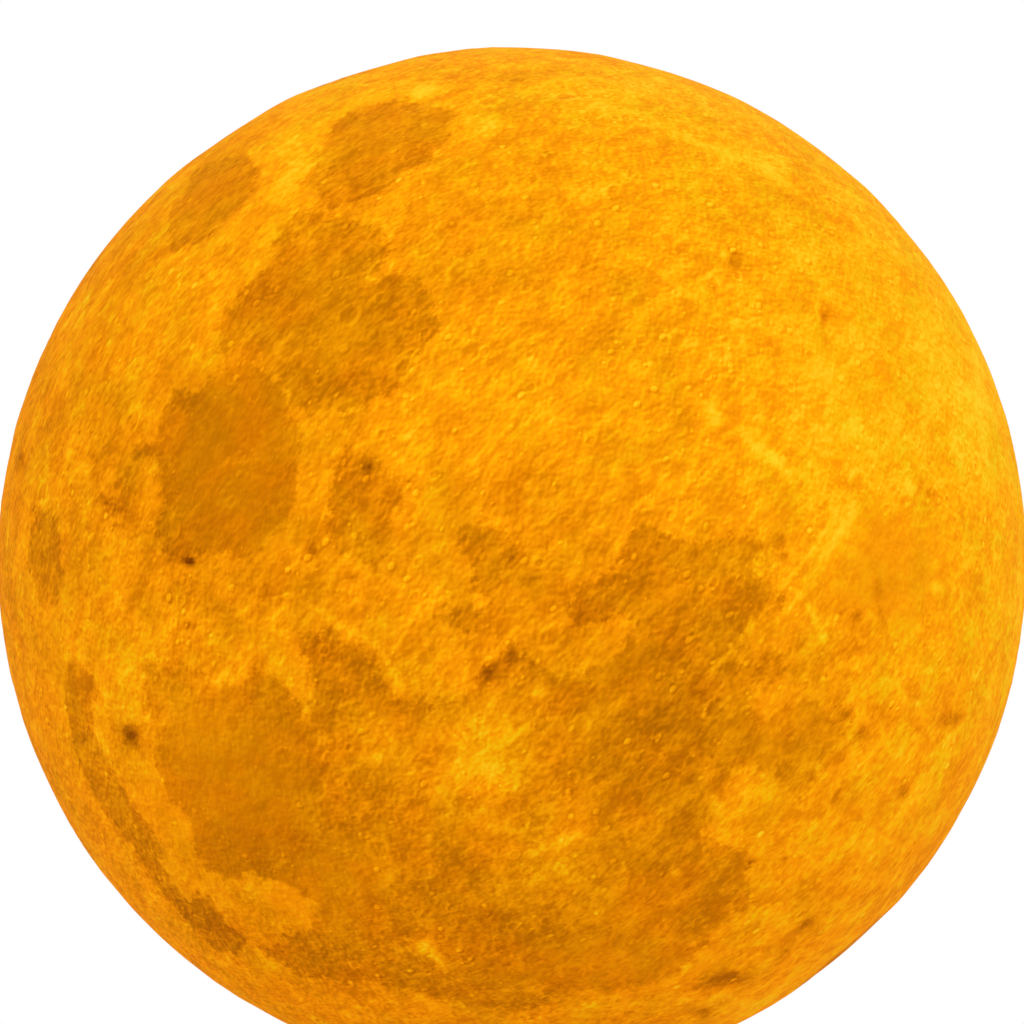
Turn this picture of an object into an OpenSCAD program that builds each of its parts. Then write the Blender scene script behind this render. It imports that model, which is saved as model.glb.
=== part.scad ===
// Moon lamp: a hollow printed globe with the Moon's relief, locked on a round base unit by a quarter twist.
// Millimetres, +Z up. The origin is on the table, under the middle of the foot ring, and -Y is the front.
// The globe is shown locked, the power switch at ON and the mode button released.

/* [Globe] */
// Outside diameter of the globe
globe_d = 150; // [120:1:200]
// Wall of the globe
globe_wall = 1.8; // [1.4:0.1:3]
// Width of the flat land round the globe's opening
rim_land = 0.8; // [0.6:0.1:1.4]
// Wall of the short neck inside the opening
globe_neck_wall = 2; // [1.2:0.1:3]
// Height of the short neck inside the opening
globe_neck_h = 8; // [7:0.5:12]

/* [Lunar relief] */
// Depth of the dark plains below the bright ground
mare_depth = 0.4; // [0.1:0.05:0.45]
// Depth of the larger craters
crater_depth = 0.55; // [0.2:0.05:0.6]
// Radius of the smallest craters that are cut
crater_min_r = 1.1; // [0.8:0.1:1.5]
// Lunar latitude that faces the front
front_lat = -1.5; // [-90:0.5:90]
// Lunar longitude that faces the front
front_lon = -3.6; // [-180:0.1:180]
// Turn of the north pole, counter-clockwise from straight up, as seen from the front
north_turn = 111; // [0:1:359]

/* [Twist lock] */
// Inside diameter of the base unit's core, which holds the battery
core_d = 44; // [43:0.5:50]
// Wall of the core
core_wall = 2; // [1.6:0.1:3]
// Number of lugs inside the globe's collar
lug_count = 3; // [2:1:4]
// Reach of a lug inward from the collar
lug_reach = 1.9; // [1.4:0.1:2.6]
// Height of a lug
lug_h = 2; // [1.5:0.1:3]
// Width of a lug, in degrees round the axis
lug_angle = 20; // [12:1:26]
// Turn from locked to unlocked, in degrees
twist_angle = 30; // [20:1:32]
// Height of the lugs above the collar's lower edge
lug_rise = 1.5; // [1:0.1:3]
// Wall of the collar
collar_wall = 1.9; // [1.4:0.1:3]
// Height of the collar
collar_h = 7; // [6:0.5:10]
// Thickness of the ledge that holds a lug down
ledge_t = 2; // [1.5:0.1:3]

/* [Base unit] */
// Reach of the skirt beyond the globe's rim
skirt_reach = 1; // [0.8:0.1:4]
// Wall of the skirt
skirt_wall = 2; // [1.6:0.1:2.2]
// Thickness of the skirt's top
skirt_roof_t = 1.5; // [1.3:0.1:3]
// Thickness of the plate over the battery
plate_t = 1.8; // [1.4:0.1:3]
// Thickness of the bottom cover
cover_t = 2.6; // [2.4:0.1:4]
// Radial width of the foot ring
foot_w = 5.7; // [5:0.1:7]
// Thickness of the foot ring
foot_t = 1.6; // [1.4:0.1:2.4]
// Depth of the foot ring's seat in the bottom cover
foot_seat = 0.8; // [0.5:0.1:1]
// Wall of the touch ring
ring_wall = 2.4; // [2:0.1:3]
// Thickness of the touch ring's inner flange
ring_flange_t = 1; // [0.8:0.1:1.5]
// Width of the touch ring's inner flange
ring_flange_w = 1.1; // [1:0.1:1.3]
// Height of the touch ring above its inner flange
ring_rise = 0.6; // [0.5:0.1:1.5]
// Thickness of the rim seal
seal_t = 0.7; // [0.6:0.05:0.75]
// Width of the rim seal
seal_w = 1; // [0.7:0.1:1]

/* [Control board] */
// Thickness of the control board
board_t = 1; // [0.8:0.1:1.6]
// Room between the bottom cover and the control board
board_gap = 2.4; // [2.2:0.1:4]
// Width of the charging socket
usb_w = 9; // [8:0.1:10]
// Height of the charging socket
usb_h = 3.2; // [3:0.1:4]
// Depth of the charging socket
usb_depth = 7.3; // [6:0.1:8]
// Radius of the light pipe
pipe_r = 1; // [0.8:0.1:1.4]
// Travel of the power switch
switch_travel = 2.5; // [1.5:0.1:3]
// Travel of the mode button
button_travel = 0.5; // [0.3:0.05:0.6]
// Radius of the mode button
button_r = 2.5; // [2:0.1:3.5]

/* [Battery] */
// Length of the cell
battery_l = 32; // [26:0.5:34]
// Width of the cell
battery_w = 22; // [18:0.5:24]
// Thickness of the cell
battery_t = 6; // [4:0.5:9]
// Thickness of the foam tape over the cell
pad_t = 0.8; // [0.5:0.1:2]
// Thickness of the strap under the cell
strap_t = 1.5; // [1.2:0.1:2.5]
// Width of the strap
strap_w = 10; // [8:0.5:14]
// Room for plugs and wires between the control board and the strap
wire_room = 7.5; // [7:0.5:12]

/* [Light] */
// Thickness of the LED board
led_board_t = 1.6; // [1:0.1:2]
// Number of LEDs in the ring
led_count = 8; // [6:2:8]
// Side of an LED
led_size = 5; // [3:0.1:5]
// Height of an LED
led_h = 1.6; // [1:0.1:2]
// Radius of the ring of LEDs
led_ring_r = 10.5; // [9:0.1:11]
// Wall of the diffuser dome
dome_wall = 1.2; // [1:0.1:2]
// Height of the straight part of the diffuser dome
dome_skirt_h = 4; // [3:0.5:10]

/* [Fasteners and fits] */
// Radius of a screw's head
head_r = 1.8; // [1.6:0.1:1.9]
// Height of a screw's head
head_h = 0.9; // [0.8:0.05:1]
// Radius of a screw's shank
shank_r = 0.8; // [0.7:0.05:1]
// Length of a screw's shank
shank_l = 5; // [4:0.5:5.5]
// Radius of a screw boss
boss_r = 2.3; // [2:0.1:2.3]
// Radius of a wire
wire_r = 0.5; // [0.4:0.05:0.6]
// Play between pieces that move past each other
play = 0.3; // [0.2:0.05:0.4]
// Gap between fixed pieces that fit one in the other
fit_gap = 0.1; // [0.05:0.05:0.15]

/* [Hidden] */
$fn = 96;
globe_fn = 200;
skin = 0.01;

// Radii, from the core outward
core_r = core_d / 2;
core_out_r = core_r + core_wall;
track_floor_r = core_out_r + fit_gap;
neck_r = track_floor_r + lug_reach;
collar_in_r = neck_r + play;
collar_out_r = collar_in_r + collar_wall;
opening_r = collar_out_r + fit_gap;
rim_r = opening_r + rim_land;
skirt_r = rim_r + skirt_reach;
skirt_in_r = skirt_r - skirt_wall;
ring_in_r = skirt_r - ring_wall;
flange_in_r = ring_in_r - ring_flange_w;
cover_r = ring_in_r - play;
lip_out_r = ring_in_r - 2 * fit_gap;
lip_in_r = flange_in_r - play;
board_r = lip_in_r - 4 * fit_gap;
boss_circle_r = lip_in_r - fit_gap - boss_r;
foot_out_r = boss_circle_r + foot_w / 2;
foot_in_r = boss_circle_r - foot_w / 2;
globe_r = globe_d / 2;
dome_r = core_out_r - 1.2;
locator_r = dome_r - dome_wall - 2 * fit_gap;
locator_wall = 1.2;
led_board_r = locator_r - locator_wall - 2 * play;

// Heights, from the table up
cover_z = foot_t - foot_seat;
cover_top = cover_z + cover_t;
flange_top = cover_top + ring_flange_t;
ring_top = flange_top + ring_rise;
board_z = cover_top + board_gap;
board_top = board_z + board_t;
usb_z = board_top;
roof_z = usb_z + usb_h + play;
skirt_top = roof_z + skirt_roof_t;
rim_z = skirt_top + play;
globe_z = rim_z + sqrt(globe_r * globe_r - rim_r * rim_r);
lug_z = rim_z + lug_rise;
track_z = lug_z - play;
track_top = lug_z + lug_h + play;
shoulder_z = track_top + ledge_t;
strap_z = board_top + wire_room;
battery_z = strap_z + strap_t;
battery_top = battery_z + battery_t;
plate_z = battery_top + pad_t;
plate_top = plate_z + plate_t;
led_board_top = plate_top + led_board_t;
lip_z = flange_top + fit_gap;
lip_top = ring_top + 1.2;

// Edge sizes
skirt_edge = 0.5;
ring_edge = 0.8;
foot_edge = 0.3;
locator_h = 2;

// Twist lock
side_play = atan(play / track_floor_r);
stop_w = 2.5;

// Screws: three hold the cover and three the board, by turns round one circle
boss_count = 3;
cover_boss_turn = 30;
board_boss_turn = 0;
screw_seat_z = cover_z + foot_seat + head_h + fit_gap;
pilot_r = shank_r + fit_gap;
hole_r = shank_r + play;
pilot_spare = 0.4;
tower_r = 2.5;
tower_y = battery_w / 2 + tower_r + 2;

// Charging socket and the light beside it
usb_wall = 0.3;
usb_tongue_w = usb_w - 2.3;
usb_tongue_t = 0.7;
usb_mouth_y = skirt_r - play;
usb_opening_gap = play;
pipe_turn = 66;
pipe_z = board_top + pipe_r + 0.8;
pipe_len = 4.3;
status_led_size = [1.4, 2, 2.4];

// Touch contact
spring_turn = 300;
spring_w = 3;
spring_t = 0.2;
spring_in_r = board_r - 3.2;
spring_bend_r = board_r - 0.6;

// Power switch
switch_pos = [-9, -7];
switch_size = [9, 4];
switch_h = board_gap - fit_gap;
knob_pad = [3.2, 3.2];
knob_stem = [2, 1.4];
knob_recess = 1;
knob_pad_t = 0.7;
stem_depth = 1.1;

// Mode button
button_pos = [9, -7];
button_set = 0.3;
button_flange_r = button_r + 0.8;
button_flange_t = 0.5;
tact_size = 5;
tact_z = cover_top + 2 * fit_gap + button_flange_t + button_travel;
plunger_r = 1;
plunger_h = board_z - button_travel - fit_gap - (cover_top + fit_gap + button_flange_t);

// Parts on the control board
chip_boxes = [
    // x, y, length, width, height
    [-7, -8, 5, 4, 1.6],
    [6, -11, 4, 3, 1.2],
    [2, 3, 5, 5, 1]
];
capacitor_spots = [[-13, -3], [-13, 1], [-1, -14], [11, -6], [-3, 9], [8, 9]];
capacitor_size = [2, 1.2, 1.2];
inductor_pos = [-2, -5];
inductor_r = 2.8;
inductor_h = 2.8;
plug_size = [6, 4];
plug_h = 4.5;
battery_plug_pos = [13.5, 0];
wire_pitch = 2;
wire_hole_r = wire_pitch / 2 + wire_r + 0.6;
led_hole_edge = 0.4;
led_plug_turn = 126;
led_plug_r = led_board_r - wire_hole_r - led_hole_edge;
led_plug_pos = led_plug_r * [cos(led_plug_turn), sin(led_plug_turn)];

// Large dark plains: latitude, longitude, angular radius
maria = [
    [33, -16, 15], [38, -27, 8],                 // Imbrium
    [28, 17.5, 9.5],                             // Serenitatis
    [9, 30, 9.5], [3, 36, 6], [14, 24, 6],       // Tranquillitatis
    [17, 59, 6.5],                               // Crisium
    [-5, 51, 7], [-13, 51, 5],                   // Fecunditatis
    [-15, 35.5, 5],                              // Nectaris
    [-24.4, -38.6, 5.5],                         // Humorum
    [-21, -16, 8], [-10, -22, 5],                // Nubium
    [57, -12, 3.5], [58, 5, 3], [56, 22, 3],     // Frigoris
    [2, -42, 9], [18, -55, 10], [38, -58, 8], [-8, -44, 5], // Procellarum
    [13, 4, 3.5],                                // Vaporum
    [-19, -93, 5.5],                             // Orientale
    [26, 147, 4.5]                               // Moscoviense
];

// Craters: latitude, longitude, diameter in kilometres
craters = [
    [51.6, -9.4, 101], [9.6, -20.1, 93], [-43.3, -11.4, 85], [8.1, -38, 45], [23.7, -47.4, 45],
    [-5.2, -68.6, 173], [-58.8, -14.1, 231], [-44.3, -55.3, 227], [-9.3, -1.9, 154], [-13.4, -2.8, 112],
    [-18.7, -1.9, 97], [-11.4, 26.4, 100], [-13.2, 24.1, 98], [-18, 23.6, 100], [-25.3, 60.4, 177],
    [-8.9, 60.9, 132], [29.7, -4, 83], [-17.5, -39.9, 110], [-29.9, -13.5, 106], [53.6, 56.5, 125],
    [46.7, 44.4, 87], [46.7, 39.1, 69], [31.8, 29.9, 95], [-3.3, -74.3, 146], [14.5, -11.3, 58],
    [-41.1, 6, 114], [-51.8, 4.8, 105], [-49.5, -14.6, 162], [-29.7, 32.1, 88], [-38.5, 26.5, 70],
    [-48.1, 16, 70], [-33, 1, 115], [-25.5, -1.9, 118], [-55, 33, 120], [-72, -60, 130],
    [-20.4, 129.1, 180], [-4.4, -157.4, 437], [2.6, -129.2, 400], [-36.1, -151.8, 420], [5.7, 140.9, 250],
    [-75, 132.4, 312], [58.7, -146, 345], [-34, 163, 282], [58, 100, 250], [-63, -160, 300],
    [38, -100, 200], [10, 165, 180], [-50, 100, 260], [0, 100, 200], [40, 170, 160],
    [20, -165, 150], [-20, -120, 170], [10, 120, 160], [70, 30, 130], [75, -90, 150]
];
moon_radius_km = 1737.4;

// Moves children, which stand on z = 0, to a place on the Moon, turned as the globe is
module at_site(lat, lon) {
    rotate([0, 0, -90])
        rotate([north_turn, 0, 0])
            rotate([0, front_lat, 0])
                rotate([0, 0, lon - front_lon])
                    rotate([0, -lat, 0])
                        rotate([0, 90, 0])
                            children();
}

module around(count, turn, radius) {
    for (i = [0 : count - 1])
        rotate([0, 0, turn + i * 360 / count])
            translate([radius, 0, 0])
                children();
}

module ring(r_out, r_in, h) {
    difference() {
        cylinder(r = r_out, h = h);
        translate([0, 0, -1])
            cylinder(r = r_in, h = h + 2);
    }
}

module ring_sector(r_in, r_out, h, start, sweep) {
    rotate([0, 0, start])
        rotate_extrude(angle = sweep)
            translate([r_in, 0])
                square([r_out - r_in, h]);
}

module box_at(pos, size, z) {
    translate([pos.x - size.x / 2, pos.y - size.y / 2, z])
        cube([size.x, size.y, size.z]);
}

// A flat bar with round ends, lying along X, standing on z = 0
module stadium(length, width, h) {
    linear_extrude(h) {
        square([length - width, width], center = true);
        for (side = [-1, 1])
            translate([side * (length - width) / 2, 0])
                circle(d = width);
    }
}

// Pan-head screw: head below z = 0, shank above it
module pan_screw() {
    slot_w = 0.45;
    slot_l = head_r * 1.2;
    difference() {
        translate([0, 0, -head_h])
            cylinder(r = head_r, h = head_h);
        for (turn = [0, 90])
            rotate([0, 0, turn])
                translate([-slot_l / 2, -slot_w / 2, -head_h - 1])
                    cube([slot_l, slot_w, 1.4]);
    }
    translate([0, 0, -skin])
        cylinder(r = shank_r, h = shank_l + skin);
}

// Points of a curve that turns from a to c round the corner b
function bend(a, b, c, steps) =
    [for (i = [0 : steps]) let (t = i / steps) (1 - t) * (1 - t) * a + 2 * t * (1 - t) * b + t * t * c];

// A wire whose route lies in the XY plane
module flat_wire(route) {
    sides = 8;
    last = len(route) - 1;
    rings = [
        for (i = [0 : last])
            let (
                step = route[min(i + 1, last)] - route[max(i - 1, 0)],
                across = [-step.y, step.x] / norm(step)
            )
            for (j = [0 : sides - 1])
                let (turn = (j + 0.5) * 360 / sides)
                [
                    route[i].x + wire_r * cos(turn) * across.x,
                    route[i].y + wire_r * cos(turn) * across.y,
                    wire_r * sin(turn)
                ]
    ];
    walls = [
        for (i = [0 : last - 1])
            for (j = [0 : sides - 1])
                let (a = i * sides + j, b = i * sides + (j + 1) % sides)
                each [[a, b, b + sides], [a, b + sides, a + sides]]
    ];
    caps = [
        [for (j = [sides - 1 : -1 : 0]) j],
        [for (j = [0 : sides - 1]) last * sides + j]
    ];
    polyhedron(points = rings, faces = concat(walls, caps));
}

module mare_cuts() {
    difference() {
        for (m = maria)
            at_site(m[0], m[1])
                translate([0, 0, globe_r * cos(m[2]) - 2])
                    cylinder(r = globe_r * sin(m[2]), h = globe_r);
        sphere(r = globe_r - mare_depth, $fn = globe_fn);
    }
}

module crater_cuts() {
    for (c = craters) {
        rim = max(crater_min_r, globe_r * c[2] / 2 / moon_radius_km);
        depth = min(crater_depth, rim * 0.28);
        bowl_r = (rim * rim + depth * depth) / (2 * depth);
        at_site(c[0], c[1])
            translate([0, 0, sqrt(globe_r * globe_r - rim * rim) - depth + bowl_r])
                sphere(r = bowl_r, $fn = 48);
    }
}

module globe_shell() {
    hollow_r = globe_r - globe_wall;
    color("#F29B0C")
        difference() {
            translate([0, 0, globe_z])
                difference() {
                    sphere(r = globe_r, $fn = globe_fn);
                    mare_cuts();
                    crater_cuts();
                }
            difference() {
                translate([0, 0, globe_z])
                    sphere(r = hollow_r, $fn = globe_fn);
                translate([0, 0, rim_z - 1])
                    cylinder(r = opening_r + globe_neck_wall, h = globe_neck_h + 1);
            }
            translate([0, 0, rim_z - globe_r])
                cylinder(r = globe_r, h = globe_r);
            translate([0, 0, rim_z - 1])
                cylinder(r = opening_r, h = globe_neck_h + 2);
        }
}

module neck_ring() {
    color("#F4F1EA") {
        translate([0, 0, rim_z])
            ring(collar_out_r, collar_in_r, collar_h);
        for (i = [0 : lug_count - 1])
            translate([0, 0, lug_z])
                ring_sector(collar_in_r - lug_reach, collar_in_r + fit_gap, lug_h,
                    i * 360 / lug_count - lug_angle / 2, lug_angle);
    }
}

module housing_body() {
    rotate_extrude()
        polygon([
            [lip_in_r, lip_z], [lip_out_r, lip_z], [lip_out_r, ring_top], [skirt_r, ring_top],
            [skirt_r, skirt_top - skirt_edge], [skirt_r - skirt_edge, skirt_top], [neck_r, skirt_top],
            [neck_r, track_z], [track_floor_r, track_z], [track_floor_r, track_top], [neck_r, track_top],
            [neck_r, shoulder_z - skirt_edge], [neck_r - skirt_edge, shoulder_z], [core_out_r, shoulder_z],
            [core_out_r, plate_top], [locator_r, plate_top], [locator_r, plate_top + locator_h],
            [locator_r - locator_wall, plate_top + locator_h], [locator_r - locator_wall, plate_top],
            [0, plate_top], [0, plate_z], [core_r, plate_z], [core_r, roof_z], [skirt_in_r, roof_z],
            [skirt_in_r, lip_top], [lip_in_r, lip_top]
        ]);
}

// Flat-floored ways down through the ledge, one for each lug
module entry_slots() {
    half_angle = lug_angle / 2 + side_play;
    floor_x = (collar_in_r - lug_reach) * cos(half_angle) - play;
    width = 2 * collar_in_r * sin(half_angle);
    around(lug_count, twist_angle, 0)
        translate([floor_x, -width / 2, (track_z + track_top) / 2])
            cube([neck_r, width, shoulder_z - track_z]);
}

// Blocks that stop a lug at both ends of its turn
module twist_stops() {
    block = [neck_r - fit_gap - core_r - core_wall / 2, stop_w, track_top - track_z + 2 * fit_gap];
    block_turn = lug_angle / 2 + side_play + asin(stop_w / 2 / track_floor_r);
    for (turn = [-block_turn, twist_angle + block_turn])
        around(lug_count, turn, core_r + core_wall / 2)
            translate([0, -stop_w / 2, track_z - fit_gap])
                cube([block.x, block.y, block.z]);
}

module base_housing() {
    color("#EFEDE6")
        difference() {
            union() {
                housing_body();
                twist_stops();
                around(boss_count, cover_boss_turn, boss_circle_r)
                    translate([0, 0, cover_top])
                        cylinder(r = boss_r, h = roof_z - cover_top + skin);
                around(boss_count, board_boss_turn, boss_circle_r)
                    translate([0, 0, board_top])
                        cylinder(r = boss_r, h = roof_z - board_top + skin);
                for (side = [-1, 1])
                    translate([0, side * tower_y, battery_z])
                        cylinder(r = tower_r, h = plate_z - battery_z + skin);
            }
            entry_slots();
            translate([0, 0, skirt_top - seal_t + 2 * fit_gap])
                ring(opening_r + seal_w + fit_gap, opening_r - fit_gap, seal_t);
            around(boss_count, cover_boss_turn, boss_circle_r)
                translate([0, 0, cover_top - 1])
                    cylinder(r = pilot_r, h = screw_seat_z + shank_l + pilot_spare - cover_top + 1);
            around(boss_count, board_boss_turn, boss_circle_r)
                translate([0, 0, board_top - 1])
                    cylinder(r = pilot_r, h = board_z + shank_l + pilot_spare - board_top + 1);
            for (side = [-1, 1]) {
                translate([0, side * tower_y, battery_z - 1])
                    cylinder(r = pilot_r, h = strap_z + shank_l + pilot_spare - battery_z + 1);
                translate([0, side * tower_y, led_board_top - shank_l - pilot_spare])
                    cylinder(r = pilot_r, h = shank_l);
            }
            translate([0, skirt_in_r - 2, usb_z + usb_h / 2])
                rotate([-90, 0, 0])
                    stadium(usb_w + 2 * usb_opening_gap, usb_h + 2 * usb_opening_gap, skirt_wall + 4);
            rotate([0, 0, pipe_turn])
                translate([skirt_in_r - 1, 0, pipe_z])
                    rotate([0, 90, 0])
                        cylinder(r = pipe_r + fit_gap, h = skirt_wall + 2);
            rotate([0, 0, spring_turn])
                translate([lip_in_r - 1, -spring_w / 2 - play, lip_z - 1])
                    cube([lip_out_r - lip_in_r + 2, spring_w + 2 * play, ring_top - fit_gap - lip_z + 1]);
            translate([led_plug_pos.x, led_plug_pos.y, plate_z - 1])
                cylinder(r = wire_hole_r, h = plate_t + 2);
        }
}

module neck_seal() {
    color("#D9D6CE")
        translate([0, 0, skirt_top - seal_t + 2 * fit_gap])
            ring(opening_r + seal_w, opening_r, seal_t);
}

module touch_ring() {
    color("#C4C7CB")
        rotate_extrude()
            polygon([
                [flange_in_r, cover_top], [ring_in_r, cover_top], [ring_in_r, cover_z],
                [skirt_r - ring_edge, cover_z], [skirt_r, cover_z + ring_edge], [skirt_r, ring_top],
                [ring_in_r, ring_top], [ring_in_r, flange_top], [flange_in_r, flange_top]
            ]);
}

module touch_spring() {
    foot_end_r = ring_in_r - play;
    color("#C9A24A")
        rotate([0, 0, spring_turn])
            translate([0, spring_w / 2, 0])
                rotate([90, 0, 0])
                    linear_extrude(spring_w)
                        polygon([
                            [spring_in_r, board_z], [spring_bend_r, board_z],
                            [spring_bend_r, flange_top + spring_t], [foot_end_r, flange_top + spring_t],
                            [foot_end_r, flange_top], [spring_bend_r - spring_t, flange_top],
                            [spring_bend_r - spring_t, board_z - spring_t], [spring_in_r, board_z - spring_t]
                        ]);
}

module bottom_cover() {
    recess = [knob_pad.x + switch_travel + 2 * play, knob_pad.y + 2 * play];
    slot = [knob_stem.x + switch_travel + 2 * play, knob_stem.y + 2 * play];
    travel_mid = [switch_pos.x - switch_travel / 2, switch_pos.y];
    color("#EFEDE6")
        difference() {
            translate([0, 0, cover_z])
                cylinder(r = cover_r, h = cover_t);
            translate([0, 0, cover_z - 1])
                ring(foot_out_r + fit_gap, foot_in_r - fit_gap, foot_seat + 1);
            around(boss_count, cover_boss_turn, boss_circle_r) {
                cylinder(r = head_r + play, h = screw_seat_z);
                cylinder(r = hole_r, h = cover_top + 1);
            }
            box_at(travel_mid, [recess.x, recess.y, knob_recess + 1], cover_z - 1);
            box_at(travel_mid, [slot.x, slot.y, cover_t + 2], cover_z - 1);
            translate([button_pos.x, button_pos.y, cover_z - 1])
                cylinder(r = button_r + play, h = cover_t + 2);
        }
}

module foot_ring() {
    color("#3B3B3D")
        rotate_extrude()
            polygon([
                [foot_in_r + foot_edge, 0], [foot_out_r - foot_edge, 0], [foot_out_r, foot_edge],
                [foot_out_r, foot_t], [foot_in_r, foot_t], [foot_in_r, foot_edge]
            ]);
}

module cover_screws() {
    color("#9A9C9F")
        around(boss_count, cover_boss_turn, boss_circle_r)
            translate([0, 0, screw_seat_z])
                pan_screw();
}

module control_board() {
    color("#1E6B40")
        difference() {
            translate([0, 0, board_z])
                cylinder(r = board_r, h = board_t);
            around(boss_count, cover_boss_turn, boss_circle_r)
                translate([0, 0, board_z - 1])
                    cylinder(r = boss_r + play, h = board_t + 2);
            around(boss_count, board_boss_turn, boss_circle_r)
                translate([0, 0, board_z - 1])
                    cylinder(r = hole_r, h = board_t + 2);
        }
}

module board_screws() {
    color("#9A9C9F")
        around(boss_count, board_boss_turn, boss_circle_r)
            translate([0, 0, board_z])
                pan_screw();
}

module control_chips() {
    color("#26272A")
        for (c = chip_boxes)
            box_at([c[0], c[1]], [c[2], c[3], c[4]], board_top);
}

module inductor() {
    color("#4A4B4F")
        translate([inductor_pos.x, inductor_pos.y, board_top])
            cylinder(r = inductor_r, h = inductor_h);
}

module capacitors() {
    color("#B9A27C")
        for (spot = capacitor_spots)
            box_at(spot, capacitor_size, board_top);
}

module status_led() {
    color("#F3E9C4")
        rotate([0, 0, pipe_turn])
            box_at([board_r - status_led_size.x, 0], status_led_size, board_top);
}

module light_pipe() {
    color("#E8F2F5", 0.6)
        rotate([0, 0, pipe_turn])
            translate([skirt_r - fit_gap - pipe_len, 0, pipe_z])
                rotate([0, 90, 0])
                    cylinder(r = pipe_r, h = pipe_len);
}

module usb_socket() {
    color("#B4B7BB")
        translate([0, usb_mouth_y, usb_z + usb_h / 2])
            rotate([90, 0, 0]) {
                difference() {
                    stadium(usb_w, usb_h, usb_depth);
                    translate([0, 0, -1])
                        stadium(usb_w - 2 * usb_wall, usb_h - 2 * usb_wall, usb_depth);
                }
                translate([-usb_tongue_w / 2, -usb_tongue_t / 2, 1])
                    cube([usb_tongue_w, usb_tongue_t, usb_depth - 1.5]);
            }
}

module plug_block() {
    box_at([0, 0], [plug_size.x, plug_size.y, plug_h], board_top);
}

module battery_plug() {
    color("#F0EBDC")
        translate([battery_plug_pos.x, battery_plug_pos.y, 0])
            rotate([0, 0, 90])
                plug_block();
}

module led_plug() {
    color("#F0EBDC")
        translate([led_plug_pos.x, led_plug_pos.y, 0])
            plug_block();
}

module battery() {
    edge = battery_t / 2;
    color("#8A9AA8") {
        box_at([0, 0], [battery_l, battery_w - 2 * edge, battery_t], battery_z);
        for (side = [-1, 1])
            translate([-battery_l / 2, side * (battery_w / 2 - edge), battery_z + edge])
                rotate([0, 90, 0])
                    cylinder(r = edge, h = battery_l);
    }
}

module battery_pad() {
    pad_inset = 4;
    color("#2E2F33")
        box_at([0, 0], [battery_l - 2 * pad_inset, battery_w - battery_t - 2, pad_t], battery_top);
}

module battery_strap() {
    color("#EFEDE6")
        difference() {
            union() {
                box_at([0, 0], [strap_w, 2 * tower_y, strap_t], strap_z);
                for (side = [-1, 1])
                    translate([0, side * tower_y, strap_z])
                        cylinder(r = strap_w / 2, h = strap_t);
            }
            for (side = [-1, 1])
                translate([0, side * tower_y, strap_z - 1])
                    cylinder(r = hole_r, h = strap_t + 2);
        }
}

module strap_screws() {
    color("#9A9C9F")
        for (side = [-1, 1])
            translate([0, side * tower_y, strap_z])
                pan_screw();
}

module battery_leads() {
    tab_z = battery_z + battery_t / 2;
    turn_x = battery_l / 2 + 2.4;
    plug_top = board_top + plug_h;
    lift = 2.2;
    start = [battery_l / 2, tab_z];
    middle = [turn_x, (tab_z + plug_top + lift) / 2];
    landing = [battery_plug_pos.x, plug_top];
    route = concat(
        [start],
        bend([battery_l / 2 + 0.8, tab_z], [turn_x, tab_z], middle, 6),
        bend(middle, [turn_x, plug_top + lift], [(turn_x + landing.x) / 2, plug_top + lift], 5),
        bend([(turn_x + landing.x) / 2, plug_top + lift], [landing.x, plug_top + lift],
            [landing.x, plug_top + 0.6], 5),
        [landing]
    );
    color("#B8261E")
        for (side = [-1, 1])
            translate([0, side * wire_pitch / 2, 0])
                rotate([90, 0, 0])
                    flat_wire(route);
}

module led_leads() {
    plug_top = board_top + plug_h;
    pad_z = led_board_top + wire_r;
    arch_z = pad_z + 1;
    pad_reach = 3;
    route = concat(
        [[0, plug_top], [0, plug_top + 1.5], [0, (plug_top + arch_z) / 2]],
        bend([0, led_board_top - 1], [0, arch_z + 0.4], [-pad_reach / 2, arch_z - 0.3], 6),
        [[-pad_reach + 0.6, pad_z], [-pad_reach, pad_z]]
    );
    color("#B8261E")
        for (side = [-1, 1])
            translate([led_plug_pos.x + side * wire_pitch / 2, led_plug_pos.y, 0])
                rotate([90, 0, 90])
                    flat_wire(route);
}

module led_board() {
    color("#E9E9E4")
        difference() {
            translate([0, 0, plate_top])
                cylinder(r = led_board_r, h = led_board_t);
            for (side = [-1, 1])
                translate([0, side * tower_y, plate_top - 1])
                    cylinder(r = hole_r, h = led_board_t + 2);
            translate([led_plug_pos.x, led_plug_pos.y, plate_top - 1])
                cylinder(r = wire_hole_r, h = led_board_t + 2);
        }
}

module led_package() {
    lens_r = led_size * 0.4;
    difference() {
        box_at([0, 0], [led_size, led_size, led_h], 0);
        translate([0, 0, led_h - 0.3])
            cylinder(r = lens_r, h = 1);
    }
}

module leds() {
    color("#F6D879")
        translate([0, 0, led_board_top]) {
            led_package();
            around(led_count, 180 / led_count, led_ring_r)
                led_package();
        }
}

module led_screws() {
    color("#9A9C9F")
        for (side = [-1, 1])
            translate([0, side * tower_y, led_board_top])
                rotate([180, 0, 0])
                    pan_screw();
}

module dome_outline(r) {
    intersection() {
        union() {
            translate([-r, -1])
                square([2 * r, dome_skirt_h + 1]);
            translate([0, dome_skirt_h])
                circle(r = r);
        }
        translate([0, -1])
            square([2 * r, dome_skirt_h + r + 2]);
    }
}

module diffuser_dome() {
    color("#FBF6EA", 0.75)
        translate([0, 0, plate_top])
            rotate_extrude()
                difference() {
                    dome_outline(dome_r);
                    dome_outline(dome_r - dome_wall);
                    translate([-1, -2])
                        square([dome_r + 2, 2]);
                }
}

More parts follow.
